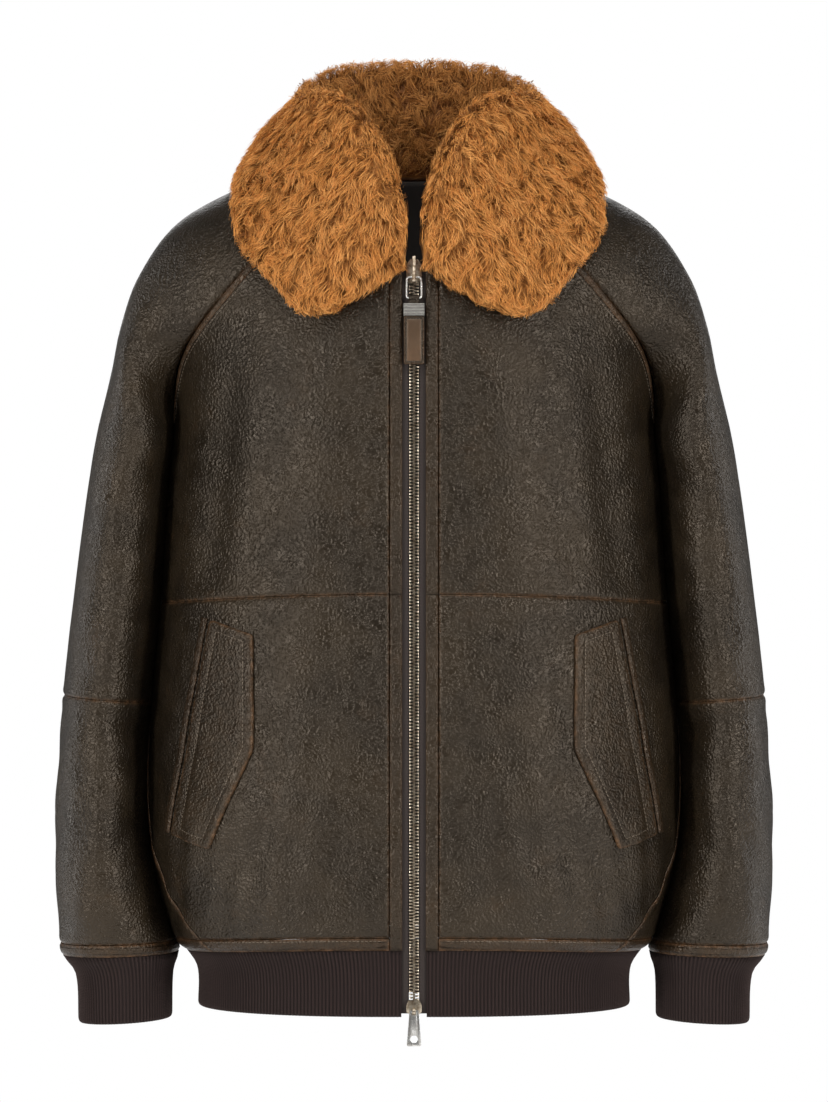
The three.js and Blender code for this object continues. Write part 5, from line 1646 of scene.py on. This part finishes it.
def growWool(under):
    grid, normal, key = collarGridPoints, collarNormals, collarKeys
    rows, columns = grid.shape[:2]
    along = np.gradient(grid, axis=0)
    around = np.roll(grid, -1, 1) - np.roll(grid, 1, 1)
    cell = np.linalg.norm(np.cross(along, around / 2), axis=-1)[:-1]
    weight = cell * hasFur(key, "grown")[None, :]
    weight = (weight / weight.sum()).ravel()

    def scatter(count):
        cells = chance.choice(weight.size, count, p=weight)
        return cells // columns + chance.random(count), cells % columns + chance.random(count)

    def read(table, row, column):
        r0 = np.clip(row.astype(int), 0, rows - 2)
        c0 = column.astype(int) % columns
        tr, tc = (row - r0)[:, None], (column - column.astype(int))[:, None]
        c1 = (c0 + 1) % columns
        return ((table[r0, c0] * (1 - tr) + table[r0 + 1, c0] * tr) * (1 - tc)
                + (table[r0, c1] * (1 - tr) + table[r0 + 1, c1] * tr) * tc)

    def comb(row, column, out):
        # Up the inside, over the fold and down the outside, and toward the zip at the front ends
        flow = unit(read(around, row, column))
        ends = unit(read(along, row, column)) * np.where(row < rows / 2, -1, 1)[:, None]
        near = np.clip(1 - np.minimum(row, rows - 1 - row) / 12, 0, 1)[:, None]
        flow = flow + ends * near * wool["combedIn"] + np.array((0, 0, -wool["combedDown"]))
        return unit(flow - out * (flow * out).sum(1, keepdims=True))

    lockRow, lockColumn = scatter(wool["locks"])
    lockRoot = read(under, lockRow, lockColumn)
    lockOut = unit(read(normal, lockRow, lockColumn))
    lockFlow = comb(lockRow, lockColumn, lockOut)
    slow = sum(np.sin(lockRoot @ np.array(pitch)) for pitch in ((0.09, 0.07, 0.11), (-0.16, 0.05, 0.13)))
    inside = hasFur(key, "curlier")[lockColumn.astype(int) % columns]
    swirl = (chance.normal(0, 0.4, wool["locks"]) * np.where(inside, 2.2, 1) + slow * 0.35)[:, None]
    lockFlow = unit(lockFlow * np.cos(swirl) + np.cross(lockOut, lockFlow) * np.sin(swirl))
    lockLength = chance.uniform(*wool["length"], wool["locks"])
    lockHeight = chance.uniform(*wool["height"], wool["locks"])
    lockTip = lockRoot + lockOut * lockHeight[:, None] + lockFlow * (lockLength * 0.8)[:, None]
    lockCurl = chance.uniform(0, 2 * math.pi, wool["locks"])
    lockTone = np.clip(chance.normal(0.25, 0.25, wool["locks"]) + slow * 0.12, 0, 1)
    tree = mathutils.kdtree.KDTree(wool["locks"])
    for i, place in enumerate(lockRoot.tolist()):
        tree.insert(place, i)
    tree.balance()

    row, column = scatter(wool["strands"])
    count = len(row)
    root, out = read(under, row, column), unit(read(normal, row, column))
    spread = root + chance.normal(0, 1.2, root.shape)
    nearest = np.array([tree.find(place)[1] for place in spread.tolist()])
    flow, length = lockFlow[nearest], lockLength[nearest] * chance.uniform(0.7, 1.2, count)
    height = lockHeight[nearest] * chance.uniform(0.6, 1.1, count)
    own = chance.normal(0, 0.3, count)[:, None]
    flow = unit(flow * np.cos(own) + np.cross(out, flow) * np.sin(own))
    freeTip = root + out * height[:, None] + flow * (length * 0.8)[:, None]
    pull = wool["gather"] * chance.uniform(0.2, 1.3, count)[:, None]
    tip = freeTip + (lockTip[nearest] - freeTip) * np.clip(pull, 0, 0.75)
    aside = unit(np.cross(out, tip - root))
    curl = wool["curl"] * chance.uniform(0.4, 1.5, count)[:, None]
    phase = (lockCurl[nearest] + chance.normal(0, 0.6, count))[:, None]
    tone = np.clip(lockTone[nearest] + chance.normal(0, 0.16, count), 0, 1)
    width = wool["width"] * chance.uniform(0.6, 1.5, count)[:, None]
    reach = chance.uniform(*wool["reach"], count) * chance.uniform(0.2, 1, count)
    ofZip = np.where(root[:, 0] < 0, -1, 1)
    clearOfZip = chance.uniform(*wool["zipClear"], count)

    # No strand leaves the collar's form by more than its own reach, nor crosses the zip
    faces = ringFaces(rows, columns)
    faces += [list(range(columns)), [(rows - 1) * columns + j for j in range(columns)]]
    form = mathutils.bvhtree.BVHTree.FromPolygons(grid.reshape(-1, 3).tolist(), faces)
    outside, outward = grid[20, 24] + normal[20, 24], normal[20, 24]  # to learn which way its faces look
    facing = 1.0 if np.array(form.find_nearest(outside.tolist())[1]) @ outward > 0 else -1.0

    def keepIn(points, allowed):
        for i, place in enumerate(points.tolist()):
            near, away, _, distance = form.find_nearest(place)
            if distance > allowed[i]:
                offset = points[i] - near
                if offset @ np.array(away) * facing > 0:
                    points[i] = np.array(near) + offset * (allowed[i] / distance)
        return points

    stations = (0.0, 0.28, 0.55, 0.8, 1.0)
    centres = []
    rise = ((tip - root) * out).sum(1, keepdims=True)
    flat = (tip - root) - out * rise
    for t in stations:
        centre = root + out * rise * (1 - (1 - t) ** 2.2) + flat * t**1.3
        centre = centre + aside * curl * math.sin(2.2 * t) * np.sin(phase + 5.5 * t)
        centre = centre + out * curl * 0.45 * t * np.cos(phase + 5.5 * t)
        centre = keepIn(centre, reach * t) if t > 0.5 else centre
        front = (centre[:, 1] < -55) & (centre[:, 2] < 10)
        centre[:, 0] = np.where(front, ofZip * np.maximum(ofZip * centre[:, 0], clearOfZip), centre[:, 0])
        centres.append(centre)
    # Flat strands: two points at each station and one at the tip
    turns = chance.uniform(0, math.pi, count)[:, None]
    points = []
    for i in range(4):
        ahead = unit(centres[i + 1] - centres[i])
        first = unit(np.cross(ahead, out + 0.001))
        second = np.cross(ahead, first)
        edge = (first * np.cos(turns) + second * np.sin(turns)) * width * (1.0, 1.0, 0.85, 0.55)[i]
        points += [centres[i] - edge, centres[i] + edge]
    points.append(centres[-1])
    strands = np.stack(points, 1)
    quads = np.array([[r * 2, r * 2 + 1, r * 2 + 3, r * 2 + 2] for r in range(3)])
    tipValues = np.array([0, 0, 0.28, 0.28, 0.55, 0.55, 0.8, 0.8, 1.0])
    deep = np.where(hasFur(key, "shaded")[column.astype(int) % columns], 0.55, 1.0)
    order = np.argsort(row)
    share = math.ceil(count / wool["pieces"])
    for part in range(wool["pieces"]):
        chosen = order[part * share:(part + 1) * share]
        offsets = np.arange(len(chosen))[:, None, None] * 9
        faces = (quads[None] + offsets).reshape(-1, 4).tolist()
        faces += (np.array([[6, 7, 8]])[None] + offsets).reshape(-1, 3).tolist()
        values = {"tip": (tipValues[None] * deep[chosen, None]).ravel(), "tone": np.repeat(tone[chosen], 9)}
        makeMesh(f"wool_{part + 1}", strands[chosen].reshape(-1, 3), faces, [furLook], "fur", values=values)


collarPadding, collarUnder = padCollar()
growWool(collarUnder)
print("collar grown")

# Floor
floorMaterial, _, floorShader = startMaterial("paleFloor")
setSockets(floorShader, {"Base Color": (0.9, 0.9, 0.9, 1), "Roughness": 0.8,
                         "Emission Color": (1, 1, 1, 1), "Emission Strength": 0.35})
bpy.ops.mesh.primitive_circle_add(vertices=96, radius=studio["floorRadius"], fill_type="NGON",
                                  location=(0, 0, studio["floorHeight"]))
floor = bpy.context.object
floor.name = "floor"
floor.data.materials.append(floorMaterial)

for node, (piece, flat, area) in panels.items():
    layOut(flat, area)
for piece, flat in bands.values():
    layOut(flat, flat[0] * flat[1])
for name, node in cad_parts.items():
    if not node.data.materials:
        node.data.materials.append(leather)
